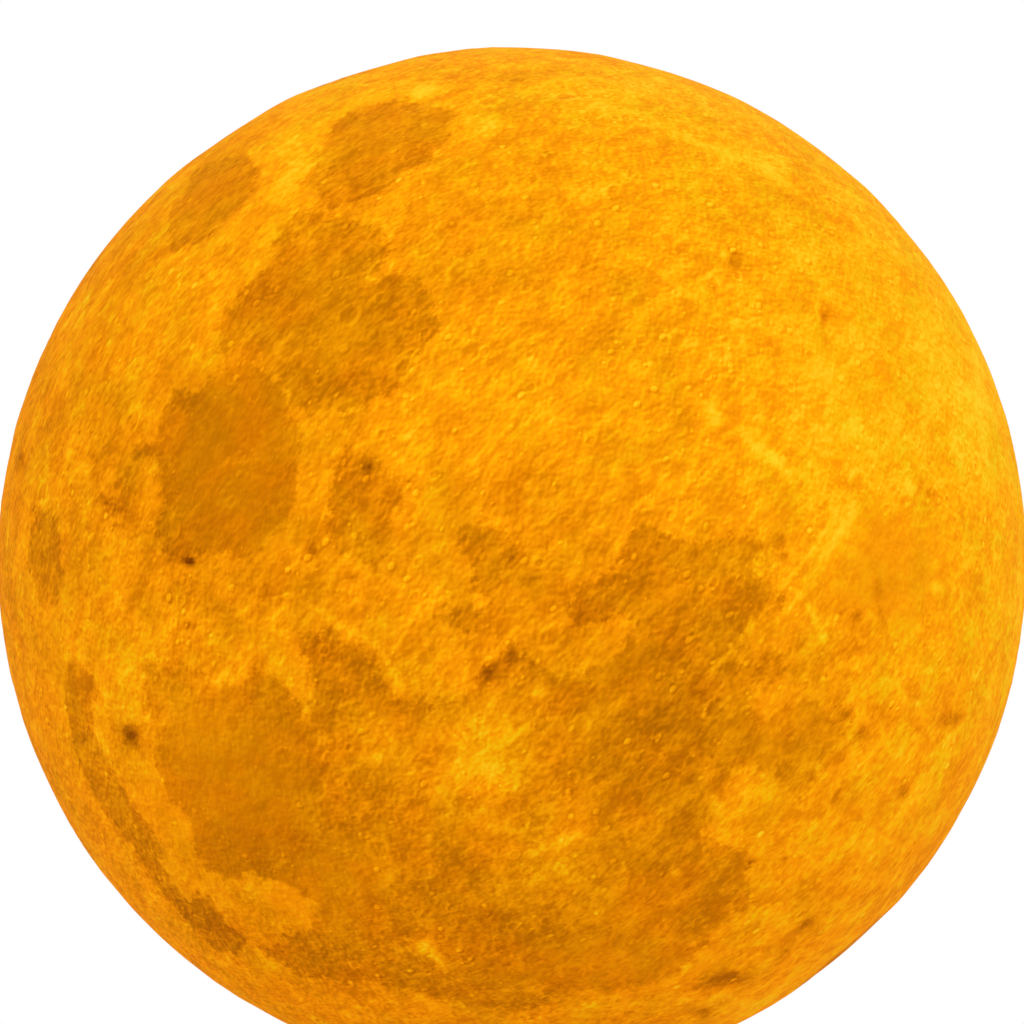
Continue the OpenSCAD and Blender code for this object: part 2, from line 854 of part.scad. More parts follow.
module switch_body() {
    slot = [knob_stem.x + switch_travel + 2 * play, knob_stem.y + 2 * play];
    travel_mid = [switch_pos.x - switch_travel / 2, switch_pos.y];
    body_z = board_z - switch_h;
    color("#303136")
        difference() {
            box_at(travel_mid, [switch_size.x, switch_size.y, switch_h], body_z);
            box_at(travel_mid, [slot.x, slot.y, stem_depth + play + 1], body_z - 1);
        }
}

module switch_knob() {
    pad_z = cover_z + knob_recess - fit_gap - knob_pad_t;
    rib_w = 0.4;
    rib_h = 0.25;
    color("#26272A") {
        box_at(switch_pos, [knob_pad.x, knob_pad.y, knob_pad_t], pad_z);
        box_at(switch_pos, [knob_stem.x, knob_stem.y, board_z - switch_h + stem_depth - pad_z], pad_z);
        for (i = [-1 : 1])
            box_at([switch_pos.x + i * knob_pad.x / 4, switch_pos.y],
                [rib_w, knob_pad.y - 0.6, rib_h + skin], pad_z - rib_h);
    }
}

module tact_switch() {
    color("#303136")
        difference() {
            box_at(button_pos, [tact_size, tact_size, board_z - tact_z], tact_z);
            translate([button_pos.x, button_pos.y, tact_z - 1])
                cylinder(r = plunger_r + play, h = board_z - tact_z + 2);
        }
}

module tact_plunger() {
    color("#B9B4A6")
        translate([button_pos.x, button_pos.y, cover_top + fit_gap + button_flange_t])
            cylinder(r = plunger_r, h = plunger_h);
}

module mode_button() {
    cap_z = cover_z + button_set;
    color("#F4F1EA")
        translate([button_pos.x, button_pos.y, 0]) {
            translate([0, 0, cap_z])
                cylinder(r = button_r, h = cover_top + fit_gap - cap_z + skin);
            translate([0, 0, cover_top + fit_gap])
                cylinder(r = button_flange_r, h = button_flange_t);
        }
}

globe_shell();
neck_ring();
base_housing();
neck_seal();
touch_ring();
touch_spring();
bottom_cover();
foot_ring();
cover_screws();
control_board();
board_screws();
control_chips();
inductor();
capacitors();
status_led();
light_pipe();
usb_socket();
battery_plug();
led_plug();
battery();
battery_pad();
battery_strap();
strap_screws();
battery_leads();
led_leads();
led_board();
leds();
led_screws();
diffuser_dome();
switch_body();
switch_knob();
tact_switch();
tact_plunger();
mode_button();
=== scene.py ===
# %% [markdown]
# # A moon lamp, from its frame to its finish
#
# The frame holds the lamp as it is built: a hollow globe on a low base unit with a battery, a control board
# and a ring of LEDs. Its sizes and places are final. This lesson gives every piece the surface of the real
# one. The globe takes most of the work, because it is what the eye sees.

# %% Load the frame
import math

import bmesh
import bpy
import numpy as np
from mathutils import Matrix, Vector, noise


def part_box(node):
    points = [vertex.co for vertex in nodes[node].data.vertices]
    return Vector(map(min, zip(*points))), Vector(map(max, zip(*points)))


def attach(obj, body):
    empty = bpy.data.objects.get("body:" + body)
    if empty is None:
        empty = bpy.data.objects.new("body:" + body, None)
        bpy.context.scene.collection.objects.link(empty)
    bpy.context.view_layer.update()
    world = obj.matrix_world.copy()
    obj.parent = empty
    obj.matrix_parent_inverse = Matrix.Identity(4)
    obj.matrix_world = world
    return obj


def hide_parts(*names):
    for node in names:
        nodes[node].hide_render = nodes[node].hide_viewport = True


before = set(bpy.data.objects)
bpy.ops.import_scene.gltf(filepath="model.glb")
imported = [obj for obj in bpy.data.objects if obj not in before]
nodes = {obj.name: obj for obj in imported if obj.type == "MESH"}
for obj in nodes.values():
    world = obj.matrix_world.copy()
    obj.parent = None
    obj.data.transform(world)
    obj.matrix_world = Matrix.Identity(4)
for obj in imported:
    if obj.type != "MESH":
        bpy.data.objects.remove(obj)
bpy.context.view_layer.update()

MM = 0.001

# %% [markdown]
# ## Where the globe is
#
# All places come from the frame. The globe's node tells its radius, its centre and the height of its rim,
# and the rest of the lesson works from these three numbers.

# %% Measure the globe
globe_low, globe_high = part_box("globe_shell")
globe_r = (globe_high.x - globe_low.x) / 2
globe_centre = Vector((0, 0, globe_high.z - globe_r))
rim_z = globe_low.z
R_MM = globe_r / MM
print(f"globe: radius {R_MM:.2f} mm, centre {globe_centre.z / MM:.2f} mm up, rim {rim_z / MM:.2f} mm up")

# %% [markdown]
# ## Helpers
#
# A few small functions serve the whole file. Colours are written as they look on a screen, in sRGB hex, and
# Blender mixes light in linear values, so one function converts them. One function makes a material with
# its shader, and one adds a node to any tree, with its settings and its links. A long sum is hard to read
# as nodes, so a number inside a tree is kept as an Amount, which is added and multiplied like any other
# number.

# %% Colours, materials and nodes
def linear(colour):
    """An sRGB hex colour as linear RGBA."""
    channels = [int(colour[i:i + 2], 16) / 255 for i in (1, 3, 5)]
    return (*[c / 12.92 if c <= 0.04045 else ((c + 0.055) / 1.055) ** 2.4 for c in channels], 1.0)


def finish(name, colour, roughness, **sockets):
    """A material named for what it is made of, with its node tree and its shader."""
    material = bpy.data.materials.new(name)
    material.use_nodes = True
    shader = material.node_tree.nodes["Principled BSDF"]
    shader.inputs["Base Color"].default_value = linear(colour)
    shader.inputs["Roughness"].default_value = roughness
    for socket, value in sockets.items():
        shader.inputs[socket.replace("_", " ")].default_value = value
    return material, material.node_tree, shader


class Amount:
    """A number in a node tree. Sums and products of amounts add the Math nodes that work them out."""

    def __init__(self, source):
        self.socket = socket_of(source)

    def by(self, operation, *others):
        values = dict(enumerate((self, *others)))
        return Amount(add(self.socket.node.id_data, "ShaderNodeMath", {"operation": operation}, values))

    def __add__(self, other):
        return self.by("ADD", other)

    def __sub__(self, other):
        return self.by("SUBTRACT", other)

    def __mul__(self, other):
        return self.by("MULTIPLY", other)

    def __truediv__(self, other):
        return self.by("DIVIDE", other)

    __radd__, __rmul__ = __add__, __mul__


def socket_of(source):
    """The socket behind an amount or a node, which gives its first output in use."""
    if isinstance(source, bpy.types.Node):
        return next(socket for socket in source.outputs if socket.enabled)
    return getattr(source, "socket", source)


def add(tree, kind, settings=None, inputs=None):
    """Adds a node. An input is a plain value, a node, a socket or an amount, three of them in a tuple as the
    parts of a vector, or a list of nodes where an input takes many."""
    node = tree.nodes.new(kind)
    for name, value in (settings or {}).items():
        setattr(node, name, value)
    for name, value in (inputs or {}).items():
        if isinstance(value, tuple) and any(isinstance(part, Amount) for part in value):
            value = add(tree, "ShaderNodeCombineXYZ", inputs=dict(enumerate(value)))
        for source in map(socket_of, value if isinstance(value, list) else [value]):
            if isinstance(source, bpy.types.NodeSocket):
                tree.links.new(source, node.inputs[name])
            else:
                node.inputs[name].default_value = source
    return node


# %% [markdown]
# Geometry Nodes trees all begin and end alike: named inputs at the start, and at the end the copies are
# made real and take their material. What a tree makes is then kept as plain mesh data, with no modifier
# left.

# %% Geometry trees
def new_tree(name, inputs):
    """A geometry tree with named inputs, each given with its kind. Returns it and its inputs by name."""
    tree = bpy.data.node_groups.new(name, "GeometryNodeTree")
    tree.interface.new_socket("Geometry", in_out="OUTPUT", socket_type="NodeSocketGeometry")
    for label, kind in {"Geometry": "Geometry", **inputs}.items():
        tree.interface.new_socket(label, in_out="INPUT", socket_type="NodeSocket" + kind)
    given = add(tree, "NodeGroupInput")
    return tree, {socket.name: Amount(socket) for socket in given.outputs if socket.name}


def close_tree(tree, geometry, material, where=True):
    """Ends a tree: its copies are made real, and the faces named by where take the material."""
    real = add(tree, "GeometryNodeRealizeInstances", inputs={"Geometry": geometry})
    painted = add(tree, "GeometryNodeSetMaterial",
                  inputs={"Geometry": real, "Selection": where, "Material": material})
    add(tree, "NodeGroupOutput", inputs={0: painted})
    return tree


def grow(thing, tree, values):
    """Puts a tree on an object, and sets its inputs by their sockets' identifiers."""
    modifier = thing.modifiers.new(tree.name, "NODES")
    modifier.node_group = tree
    for item in tree.interface.items_tree:
        if item.item_type == "SOCKET" and item.in_out == "INPUT" and item.name in values:
            modifier[item.identifier] = values[item.name]


def baked(thing):
    """The mesh that an object's modifiers make, as plain data. The object itself goes."""
    bpy.context.view_layer.update()
    graph = bpy.context.evaluated_depsgraph_get()
    mesh = bpy.data.meshes.new_from_object(thing.evaluated_get(graph), preserve_all_data_layers=True,
                                           depsgraph=graph)
    thing.modifiers.clear()
    bpy.data.objects.remove(thing)
    return mesh


# %% [markdown]
# ## Camera, light and floor
#
# The photograph looks straight at the globe from far away: its outline is a true circle, and its frame cuts
# the globe off 0.9 of its radius below its centre. A long lens 3 m away gives that. The light is a white
# room: a pale floor, a soft ambient light and one large soft lamp high on the right, where the globe looks
# lightest, with a weaker one at the left and one behind. The floor fades into the white of the room, so it
# has no edge.

# %% The camera
def put(name, data):
    """Makes an object of a name, with its data, in the scene."""
    thing = bpy.data.objects.new(name, data)
    bpy.context.scene.collection.objects.link(thing)
    return thing


camera_distance = 3.0
frame_half_width = 74.69 * MM      # at the globe's middle
camera_rise = 7.23 * MM            # of the camera above the globe's centre
camera_shift = -0.04 * MM          # of the camera to the left of the globe's axis
sensor_width = 36.0
nearest_drawn, farthest_drawn = 0.1, 20.0

lens = bpy.data.cameras.new("camera")
lens.sensor_width = sensor_width
lens.lens = sensor_width / 2 * camera_distance / frame_half_width
lens.clip_start, lens.clip_end = nearest_drawn, farthest_drawn
camera = put("camera", lens)
camera.location = (camera_shift, -camera_distance, globe_centre.z + camera_rise)
camera.rotation_euler = (math.radians(90), 0, 0)
bpy.context.scene.camera = camera
bpy.context.scene.view_settings.view_transform = "Standard"
print(f"camera: {lens.lens:.0f} mm lens, {camera_distance} m in front")

# %% The room
ambient = 0.72
# Each lamp's place, width in metres and power in watts
soft_lamps = [("key", (0.9, -1.5, 1.5), 1.2, 14.0), ("fill", (-1.4, -1.2, 0.7), 1.0, 5.0),
              ("rear", (0.3, 1.6, 1.2), 1.0, 7.0)]

world = bpy.data.worlds.new("white_room")
world.use_nodes = True
room = world.node_tree
background = room.nodes["Background"]
ray = add(room, "ShaderNodeLightPath")
strength = add(room, "ShaderNodeMapRange",
               inputs={"Value": ray.outputs["Is Camera Ray"], "To Min": ambient, "To Max": 1.0})
room.links.new(strength.outputs[0], background.inputs["Strength"])
background.inputs["Color"].default_value = (1, 1, 1, 1)
bpy.context.scene.world = world

for name, place, size, power in soft_lamps:
    lamp = bpy.data.lights.new(name, "AREA")
    lamp.size = size
    lamp.energy = power
    light = put(name, lamp)
    light.location = place
    light.rotation_euler = (globe_centre - Vector(place)).to_track_quat("-Z", "Y").to_euler()
print(f"room: white, {len(soft_lamps)} soft lamps")

# %% The floor
floor_r = 0.5
floor_gap = 0.1 * MM               # under the foot ring
fade_start, fade_end = 0.16, 0.48

material, tree, shader = finish("pale_floor_board", "#E9E8E5", 0.9, Specular_IOR_Level=0.1)
spot = add(tree, "ShaderNodeTexCoord").outputs["Object"]
reach = add(tree, "ShaderNodeVectorMath", {"operation": "LENGTH"}, {0: spot})
fade = add(tree, "ShaderNodeMapRange", {"interpolation_type": "SMOOTHSTEP"},
           {"Value": reach, "From Min": fade_start, "From Max": fade_end})
glow = add(tree, "ShaderNodeEmission", inputs={"Color": (1, 1, 1, 1), "Strength": 1.0})
mix = add(tree, "ShaderNodeMixShader", inputs={0: fade, 1: shader, 2: glow})
tree.links.new(mix.outputs[0], tree.nodes["Material Output"].inputs["Surface"])

bm = bmesh.new()
bmesh.ops.create_circle(bm, cap_ends=True, segments=96, radius=floor_r)
mesh = bpy.data.meshes.new("floor")
bm.to_mesh(mesh)
bm.free()
mesh.materials.append(material)
floor = put("floor", mesh)
floor.location.z = -floor_gap
print(f"floor: {floor_r} m across the middle, white from {fade_end} m outward")

# %% [markdown]
# ## Making meshes into pieces
#
# A piece keeps its object at the origin and its place in its mesh, rides on one body of the frame, and
# stands for the node that it replaces. One function does this for every piece that is made here.

# %% Pieces
def piece(name, mesh, body, replaced, smooth_below=None):
    """Links a mesh as a piece that rides on a body and stands for one node or more."""
    thing = put(name, mesh)
    if smooth_below is not None:
        mesh.shade_smooth()
        mesh.set_sharp_from_angle(angle=math.radians(smooth_below))
    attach(thing, body)
    if replaced:
        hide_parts(*replaced)
    return thing


def open_edges(bm):
    return sum(1 for edge in bm.edges if len(edge.link_faces) != 2)


# %% [markdown]
# ## The Moon's face as a map
#
# The globe is a print of the Moon. Its dark plains are what makes it the Moon, so their outlines are drawn,
# in millimetres to the right of the globe's middle and above it, as one sees it from the front.
# Seen so, the ground near the edge is foreshortened. Rolling the sphere out flat, with every distance from
# the middle kept, undoes this: the same outlines then work all round the globe and have no seam.

# %% Outlines of the dark plains
plains = {
    "crisium": [(-39, 58.5), (-36, 56), (-37, 53.5), (-40, 50), (-43, 47), (-46, 45.5), (-49, 45.2),
                (-50.5, 48), (-49.5, 51), (-48, 54), (-45.5, 57), (-42, 58.8)],
    "fecunditatis": [(-30, 55), (-28, 60), (-25, 64.4), (-20, 66.3), (-15, 66.8), (-9, 65.3), (-8, 60.5),
                     (-12, 57.5), (-16.4, 56.2), (-19.3, 52.7), (-26, 51)],
    "tranquillitatis": [(-35, 48.5), (-31, 50), (-27, 49), (-23, 49.5), (-19, 48), (-18.5, 44.5), (-20, 41.5),
                        (-15, 40.5), (-11.5, 38.5), (-11, 34), (-13, 30.5), (-15.5, 27), (-18, 23.5),
                        (-22, 21.5), (-26, 22), (-28.5, 19.5), (-31, 22.5), (-33, 26), (-37, 30), (-41, 28.5),
                        (-42, 32), (-40.5, 36), (-38, 40.5), (-34.5, 43)],
    "serenitatis": [(-48.5, 24.5), (-45, 25), (-41, 27.5), (-37.5, 29.5), (-33, 26), (-31.5, 22),
                    (-30.7, 18), (-30.2, 14), (-30.8, 10.5), (-31.5, 7.5), (-33.5, 4.5), (-36, 2.2),
                    (-40, 1.4), (-44, 0.6), (-49.5, 0), (-51.5, 2), (-51.5, 5), (-50.2, 8), (-50.5, 12),
                    (-51.5, 15), (-54.5, 15), (-55, 17), (-51, 17.8), (-50, 21)],
    "vaporum": [(-26.5, 14), (-23, 15.5), (-18.5, 15), (-16.7, 11), (-16.7, 6), (-16.3, 2.5), (-18.5, 0),
                (-23, 0.5), (-26.5, 2), (-27.5, 6), (-25.5, 8.5)],
    "medii": [(-6.8, 5), (-3.5, 5.5), (-0.5, 4.8), (-0.5, 1.5), (-2.5, 0.3), (-2, -3), (-3, -5),
              (-6.3, -4.5), (-5.5, -1), (-6.5, 1.5)],
    "aestuum": [(-10, -5.5), (-6, -5.5), (-4.5, -7), (-5, -9.8), (-8.5, -9.8), (-10.5, -8)],
    "ocean": [(-53, -14.5), (-49.5, -15.5), (-46, -15), (-43, -18), (-39.5, -17), (-36.5, -14.5), (-34, -17),
              (-31.5, -19.5), (-29.5, -21.5), (-28.3, -16), (-29.3, -11), (-26, -9), (-21.5, -11.8),
              (-19.3, -15), (-17, -18.5), (-12, -19.5), (-6, -18.5), (-4, -14.5), (0, -12), (3, -14),
              (6, -15.5), (9, -15.5), (13, -14), (16.5, -12), (16, -8.5), (12, -8.3), (8, -8), (9.5, -4.5),
              (11.5, -1.5), (14.5, 0), (15.5, 3.5), (16, 5.3), (20, 5.2), (23.5, 4), (27, 3.2), (31, 3.5),
              (34.5, 4.5), (35.5, 2), (34, -1), (36.5, -3.5), (38, -5.5), (35, -8), (32.5, -11), (33, -13.5),
              (36, -12.3), (39, -13), (39, -16), (35.5, -18), (33, -20.5), (36, -22.7), (39, -20.8),
              (42, -19.3), (45.5, -20), (49, -21.5), (47.5, -25), (45.5, -28.5), (44, -32), (41.5, -33.7),
              (38.2, -32.8), (37.3, -30), (35, -28.8), (32, -30.7), (30, -34), (28, -38), (30, -40.5),
              (33.5, -42), (34.5, -46), (34, -50), (30.5, -51.5), (28, -54), (25.5, -58), (21, -60.5),
              (15, -61.5), (8, -63), (0, -64.5), (-7, -64.5), (-13, -62.5), (-19, -61), (-25, -60.5),
              (-31, -59.5), (-37, -56), (-33, -54), (-28.5, -53), (-28, -49.5), (-32, -46.5), (-37, -45.2),
              (-41, -45.7), (-44, -44), (-45.7, -41), (-46, -38), (-49, -35), (-51, -30), (-51.8, -25),
              (-53, -19)],
    "frigoris": [(-64, -13), (-61, -14.5), (-60, -19), (-60, -25), (-57.5, -29.5), (-55.5, -33.5),
                 (-52.5, -38), (-51, -41), (-49.5, -45), (-47, -48.5), (-43.5, -48.7), (-41.5, -52),
                 (-38.5, -54.5), (-39.5, -57), (-43.5, -56), (-47, -52.5), (-50.5, -48.5), (-53, -44.5),
                 (-55, -41), (-58, -38), (-60, -35), (-62, -30), (-64, -25), (-65, -19)],
    "humboldtianum": [(-69.2, 8.5), (-66.5, 8), (-65.3, 4), (-65, -1), (-66, -6), (-68, -6.5), (-69, -3),
                      (-70, 2)],
}
# Plains past the edge of the face: latitude, longitude and radius in degrees
far_plains = [(-19, -93, 7), (26, 147, 5), (-3, 87, 6), (13, 86, 5), (-38, 93, 6), (-33, 163, 5)]
print(f"{len(plains)} outlines with {sum(len(outline) for outline in plains.values())} points")

# %% [markdown]
# The near side has bright and dark places of its own, too: aprons of pale dust round young craters, dark
# floors of flooded ones, and streaks. Each is a soft oval: right, up, half its length, half its width, the
# turn of its length from the horizontal in degrees, and how many steps of 255 it is lighter or darker than
# the ground round it. Wide ovals tone the ground, and small ones are marks with a firm edge.

# %% Ovals that tone the ground
tones = [
    (-5, -27, 7, 6.5, 0, 20), (5, -42, 6, 5, 0, 13), (16, -48, 5.5, 5, 0, 9), (41, 52, 2.4, 2.0, 0, -12),
    (35.5, 58, 4.5, 2.2, -35, 12), (52, 20, 7, 12, 0, 5), (48, -30, 10, 14, 0, 5),
    (-40, -28, 15, 12, 0, 10), (-43, -54, 4, 2.5, -40, -3), (-30, -57, 9, 3, -15, -3),
    (-22, -46, 12, 7, 30, 12), (-41, -43, 4, 3, -20, -6), (8, -56, 14, 6, 0, 10), (25, -14, 7, 8, 0, -9),
    (20, -22, 4, 2, 0, -10), (20, -15, 5, 4, 0, -6), (-47, 23, 2, 2, 0, -8), (-40, 34, 2, 3, 0, -6),
    (-34, 47, 3, 2, 0, 4), (-31, 58, 2.5, 5, -20, 20), (-42, 51.5, 5, 5, 0, 5), (-57, 20, 3, 6, 10, -8),
    (54.6, -1, 8, 9, 0, -14), (23, 21, 6, 4, 0, -8), (-3, 48, 6, 6, 0, -8), (-1, 70, 6, 1.5, 0, -10),
    (-10, -14, 9, 5, 0, -6), (4, -4, 8, 8, 0, -26), (0, 10, 6, 4, 0, -13), (9, -13, 5, 3, 0, -8),
    (17, 5, 6, 4, 0, -9), (-20, -4, 8, 3, 0, -3), (30, -38, 4, 5, 0, 8), (36, -34, 5, 3, 0, 6),
    (62, 40, 10, 18, 0, 6), (3, 22, 12, 5, -10, 4), (40, 20, 10, 5, -45, 7), (-56, -15, 2.5, 8, 5, 10),
    (-56, -31, 2, 4, 20, -5), (-42, -48, 6, 2, -30, 4), (47, -15, 4, 3, 0, -10), (-62, 0, 5, 10, 0, 5),
    (57, -50, 6, 6, 0, -2), (-52, 36, 8, 6, 40, 8), (13, 36, 5, 8, 0, -16), (-9, 42.5, 7, 4, 0, -12),
    (-19, 50.5, 5, 3, 0, -9), (5.5, 57, 3, 9, 0, -8), (39, -10, 6, 3, 0, -13), (41, -18.5, 5, 4, 0, -9),
    (35, -29, 3, 6, 0, -7), (-32.5, 4.5, 4, 4, 0, -12), (-42, -5, 5, 3, 0, -9), (-55.7, 10.4, 3, 3, 0, -12),
    (-35.5, -52.5, 5, 4, 0, -10), (-41, 31, 4, 4, 0, 13), (-50.5, 20, 3, 4, 0, 12),
    (-33, 49, 5, 3, -40, 11), (-64, -18, 3, 5, 0, 12), (-47, -20, 7, 6, 0, 13), (66.5, 20, 4, 10, 0, 18),
    (71, -5.5, 3, 8, 0, 10), (45, 22, 4, 6, 0, 8), (-17, 66, 8, 3, 0, 8), (15, 67.3, 6, 3, 0, 12),
    (-12, -26, 7, 4, 0, 8), (1, -17, 5, 4, 0, 11), (32.5, -45, 4, 5, 0, 9), (34, -64, 8, 3, 20, 12),
    (-22, 7, 5, 8, 0, 8), (-61, -22, 2.5, 8, 8, 11), (-56.5, -36, 2.5, 6, 25, 7), (-67.5, 1, 2.5, 9, 0, 10),
    (-4, 0, 4, 6, 0, 7), (-7.5, -7.5, 4, 3, 0, 8),
]
# Places where the ground is smooth: right, up, half length, half width, turn, and how smooth, up to 1
quiet_places = [
    (-40, -32, 11, 11, 0, 1.0), (-27, -46, 8, 6, 20, 0.8), (-40.5, 14, 9, 12, 0, 1.0),
    (54, -0.5, 8.5, 8, 0, 0.9), (-43, 53, 5, 5, 0, 0.6), (14, -58, 14, 3.5, 0, 0.7),
    (22, -50, 9, 5, 0, 0.5), (38, -24, 6, 5, 0, 0.5), (-21, 62, 7, 5, 0, 0.5), (-28, 36, 8, 8, 0, 0.4),
    (52, 30, 9, 12, 0, 0.3), (18, -15, 5, 4, 0, 0.4),
]
dark_marks = [
    (-55, -24.7, 1.9, 1.2, -57, 55), (-46.3, 0.2, 0.7, 0.55, 0, 110), (32, 43.5, 1.6, 1.2, 70, 30),
    (45, 35.5, 1.2, 0.8, 80, 32), (63.3, -22.8, 1.5, 0.9, 40, 32), (58.3, -24, 0.8, 0.6, 40, 25),
    (53.5, -21, 1.8, 1.0, 10, 18), (56.6, -33, 0.9, 0.6, 70, 28), (34.5, -43, 0.7, 0.6, 20, 35),
    (39.2, -42.5, 0.8, 0.5, 30, 35), (42.5, -52.3, 1.0, 0.6, 20, 38), (39.8, -56.4, 0.6, 0.5, 40, 25),
    (30.5, -60.2, 3.2, 1.2, 12, 40), (27.5, -65.2, 1.2, 0.6, 10, 30), (47, -28, 2.2, 0.6, 52, 30),
    (46.6, -33.3, 1.6, 0.5, 62, 30), (50, -24.5, 1.2, 0.6, 45, 25), (-23.5, 16.3, 0.7, 0.5, 60, 35),
    (-22.1, 18.4, 0.6, 0.5, 0, 30), (-25.3, 18.8, 1.0, 0.5, 70, 25), (-20.6, 13.8, 0.9, 0.6, 50, 35),
    (-15, 11.7, 0.9, 0.5, -35, 38), (-28.6, 2, 1.1, 0.7, 110, 30), (-57.5, 8.2, 2.4, 0.7, -32, 30),
    (-57, 5, 0.8, 0.5, 0, 25), (-22.5, -2, 1.0, 0.5, -15, 25), (-46.5, -9, 1.0, 0.5, 10, 22),
    (-35.2, -4, 1.0, 0.8, 70, 22), (-33.2, -5.5, 0.8, 0.6, 60, 20), (-71.3, 15.5, 1.6, 0.5, 75, 25),
    (-3.3, -15.7, 1.0, 1.0, 40, 28), (-0.2, -13.5, 1.2, 0.6, 80, 20), (3.2, -14.3, 0.6, 0.5, 0, 25),
    (38.5, 3.2, 1.1, 0.9, 90, 30), (38.8, 1, 0.7, 0.6, 0, 22), (49.2, -7.9, 1.2, 0.5, 62, 30),
    (46.8, -7, 0.8, 0.8, 0, 25), (52.4, -3.3, 1.7, 0.5, 97, 22), (53, -8, 2.2, 0.5, 110, 18),
    (60, 10, 1.4, 0.6, -30, 25), (48, 10.9, 1.6, 0.5, -15, 18),
]
pale_marks = [
    (57, 11, 0.9, 1.0, 0, 35), (61, -3.7, 0.9, 0.9, 0, 35), (21.5, 11.5, 1.5, 1.0, 0, 18),
    (37.5, 14.8, 2.8, 1.0, -45, 28), (-61.5, 13.2, 0.8, 0.8, 0, 30), (-41.5, -16.2, 1.2, 0.7, 30, 30),
    (-31.5, -17.5, 0.6, 0.6, 0, 20), (-29.7, -21.8, 0.9, 0.9, 30, 22), (-50.3, -23.3, 0.5, 0.5, 0, 25),
    (-48.5, -22, 0.6, 0.5, 0, 20), (-19.2, -28.2, 0.7, 0.6, 0, 40), (-12.6, -55.3, 1.2, 0.8, -20, 40),
    (-11, -56.8, 1.7, 0.5, -45, 32), (-15.8, -55.8, 0.9, 0.6, 0, 25), (-12.3, -52.3, 0.9, 0.6, -30, 22),
    (3.7, -18.5, 0.8, 0.8, 0, 30), (-3.7, -13.6, 0.9, 0.7, 0, 30), (7.5, -39.8, 1.6, 0.6, 25, 32),
    (9.5, -39, 0.9, 0.7, 0, 30), (23.6, -44.7, 0.8, 0.5, 30, 32), (24.4, -48.2, 2.8, 0.45, 40, 24),
    (28, -30.8, 0.9, 1.0, 40, 24), (29, -34.3, 1.0, 1.3, 40, 24), (26.3, -55, 0.6, 0.5, 0, 30),
    (25, -58.2, 0.7, 0.5, 0, 30), (3.3, 27.3, 0.8, 0.6, 0, 30), (2.3, 28.5, 1.2, 0.6, 20, 25),
    (12.8, 24.8, 1.0, 0.5, -20, 22), (-3.5, 23.6, 0.7, 0.6, 0, 20), (29.2, 20, 1.0, 0.7, 0, 30),
    (28.5, 22, 1.2, 0.8, 60, 20), (-13.5, 68, 1.6, 1.0, 0, 25), (2, 68, 1.5, 1.0, 0, 20),
    (-3.5, 63, 1.2, 0.9, 0, 25),
]
# Straight bright rays: start and end, each as right and up, half width, and lift
rays = [
    ((49, 7.5), (44, 0), 0.9, 30), ((44, 0), (40.5, -5.6), 0.8, 26), ((46.5, 7), (40, -1.8), 0.5, 16),
    ((40, -1.8), (27.4, -17.1), 0.45, 24), ((42.4, -6.3), (44.6, -10.9), 0.6, 30),
    ((40.5, -5.6), (35.5, -11), 0.5, 18), ((39.5, 12.5), (26, 24), 0.8, 14), ((26, 24), (8, 31), 0.7, 10),
    ((18.6, 63), (36, 57), 0.9, 14), ((34, 59), (44, 51), 0.7, 12), ((-28, -25.5), (-15, -22), 0.45, 16),
    ((-27, -28.2), (-18, -24.5), 0.45, 16), ((-24, -30), (-17, -26), 0.4, 14),
    ((-29, -6), (-24.5, -8.8), 0.6, 26), ((-24.5, -8.8), (-19, -12), 0.6, 26),
    ((-19, -12), (-15.5, -18), 0.5, 26), ((-41.5, 14.2), (-35, 15), 0.5, 16),
    ((7, 47.5), (19.4, 42.8), 0.5, 14), ((19.4, 42.8), (26.1, 37.6), 0.6, 16),
    ((26.1, 37.6), (33.9, 33), 0.7, 15), ((-11.8, -38), (-11.8, -45), 0.4, 12),
    ((4, 33), (-4, 29), 0.5, 12), ((60, 34), (67, 22), 0.6, 12),
]
# Large aprons of rays: right, up, how far they reach before they have faded to a third, and lift
sprays = {"south": (50, 12, 16, 18), "middle": (-5, -28, 8, 58), "west": (5.5, -41.5, 5.5, 54),
          "edge": (-12.6, -55.3, 4, 30)}
print(f"{len(tones)} tones, {len(dark_marks)} dark marks, {len(pale_marks)} pale marks, {len(rays)} rays")

# %% [markdown]
# ## Craters
#
# The largest craters are known places, written as latitude, longitude and diameter in kilometres. The globe
# shows the Moon turned: its north lies 111 degrees counter-clockwise from straight up. One function gives
# the direction of any place from the globe's centre.

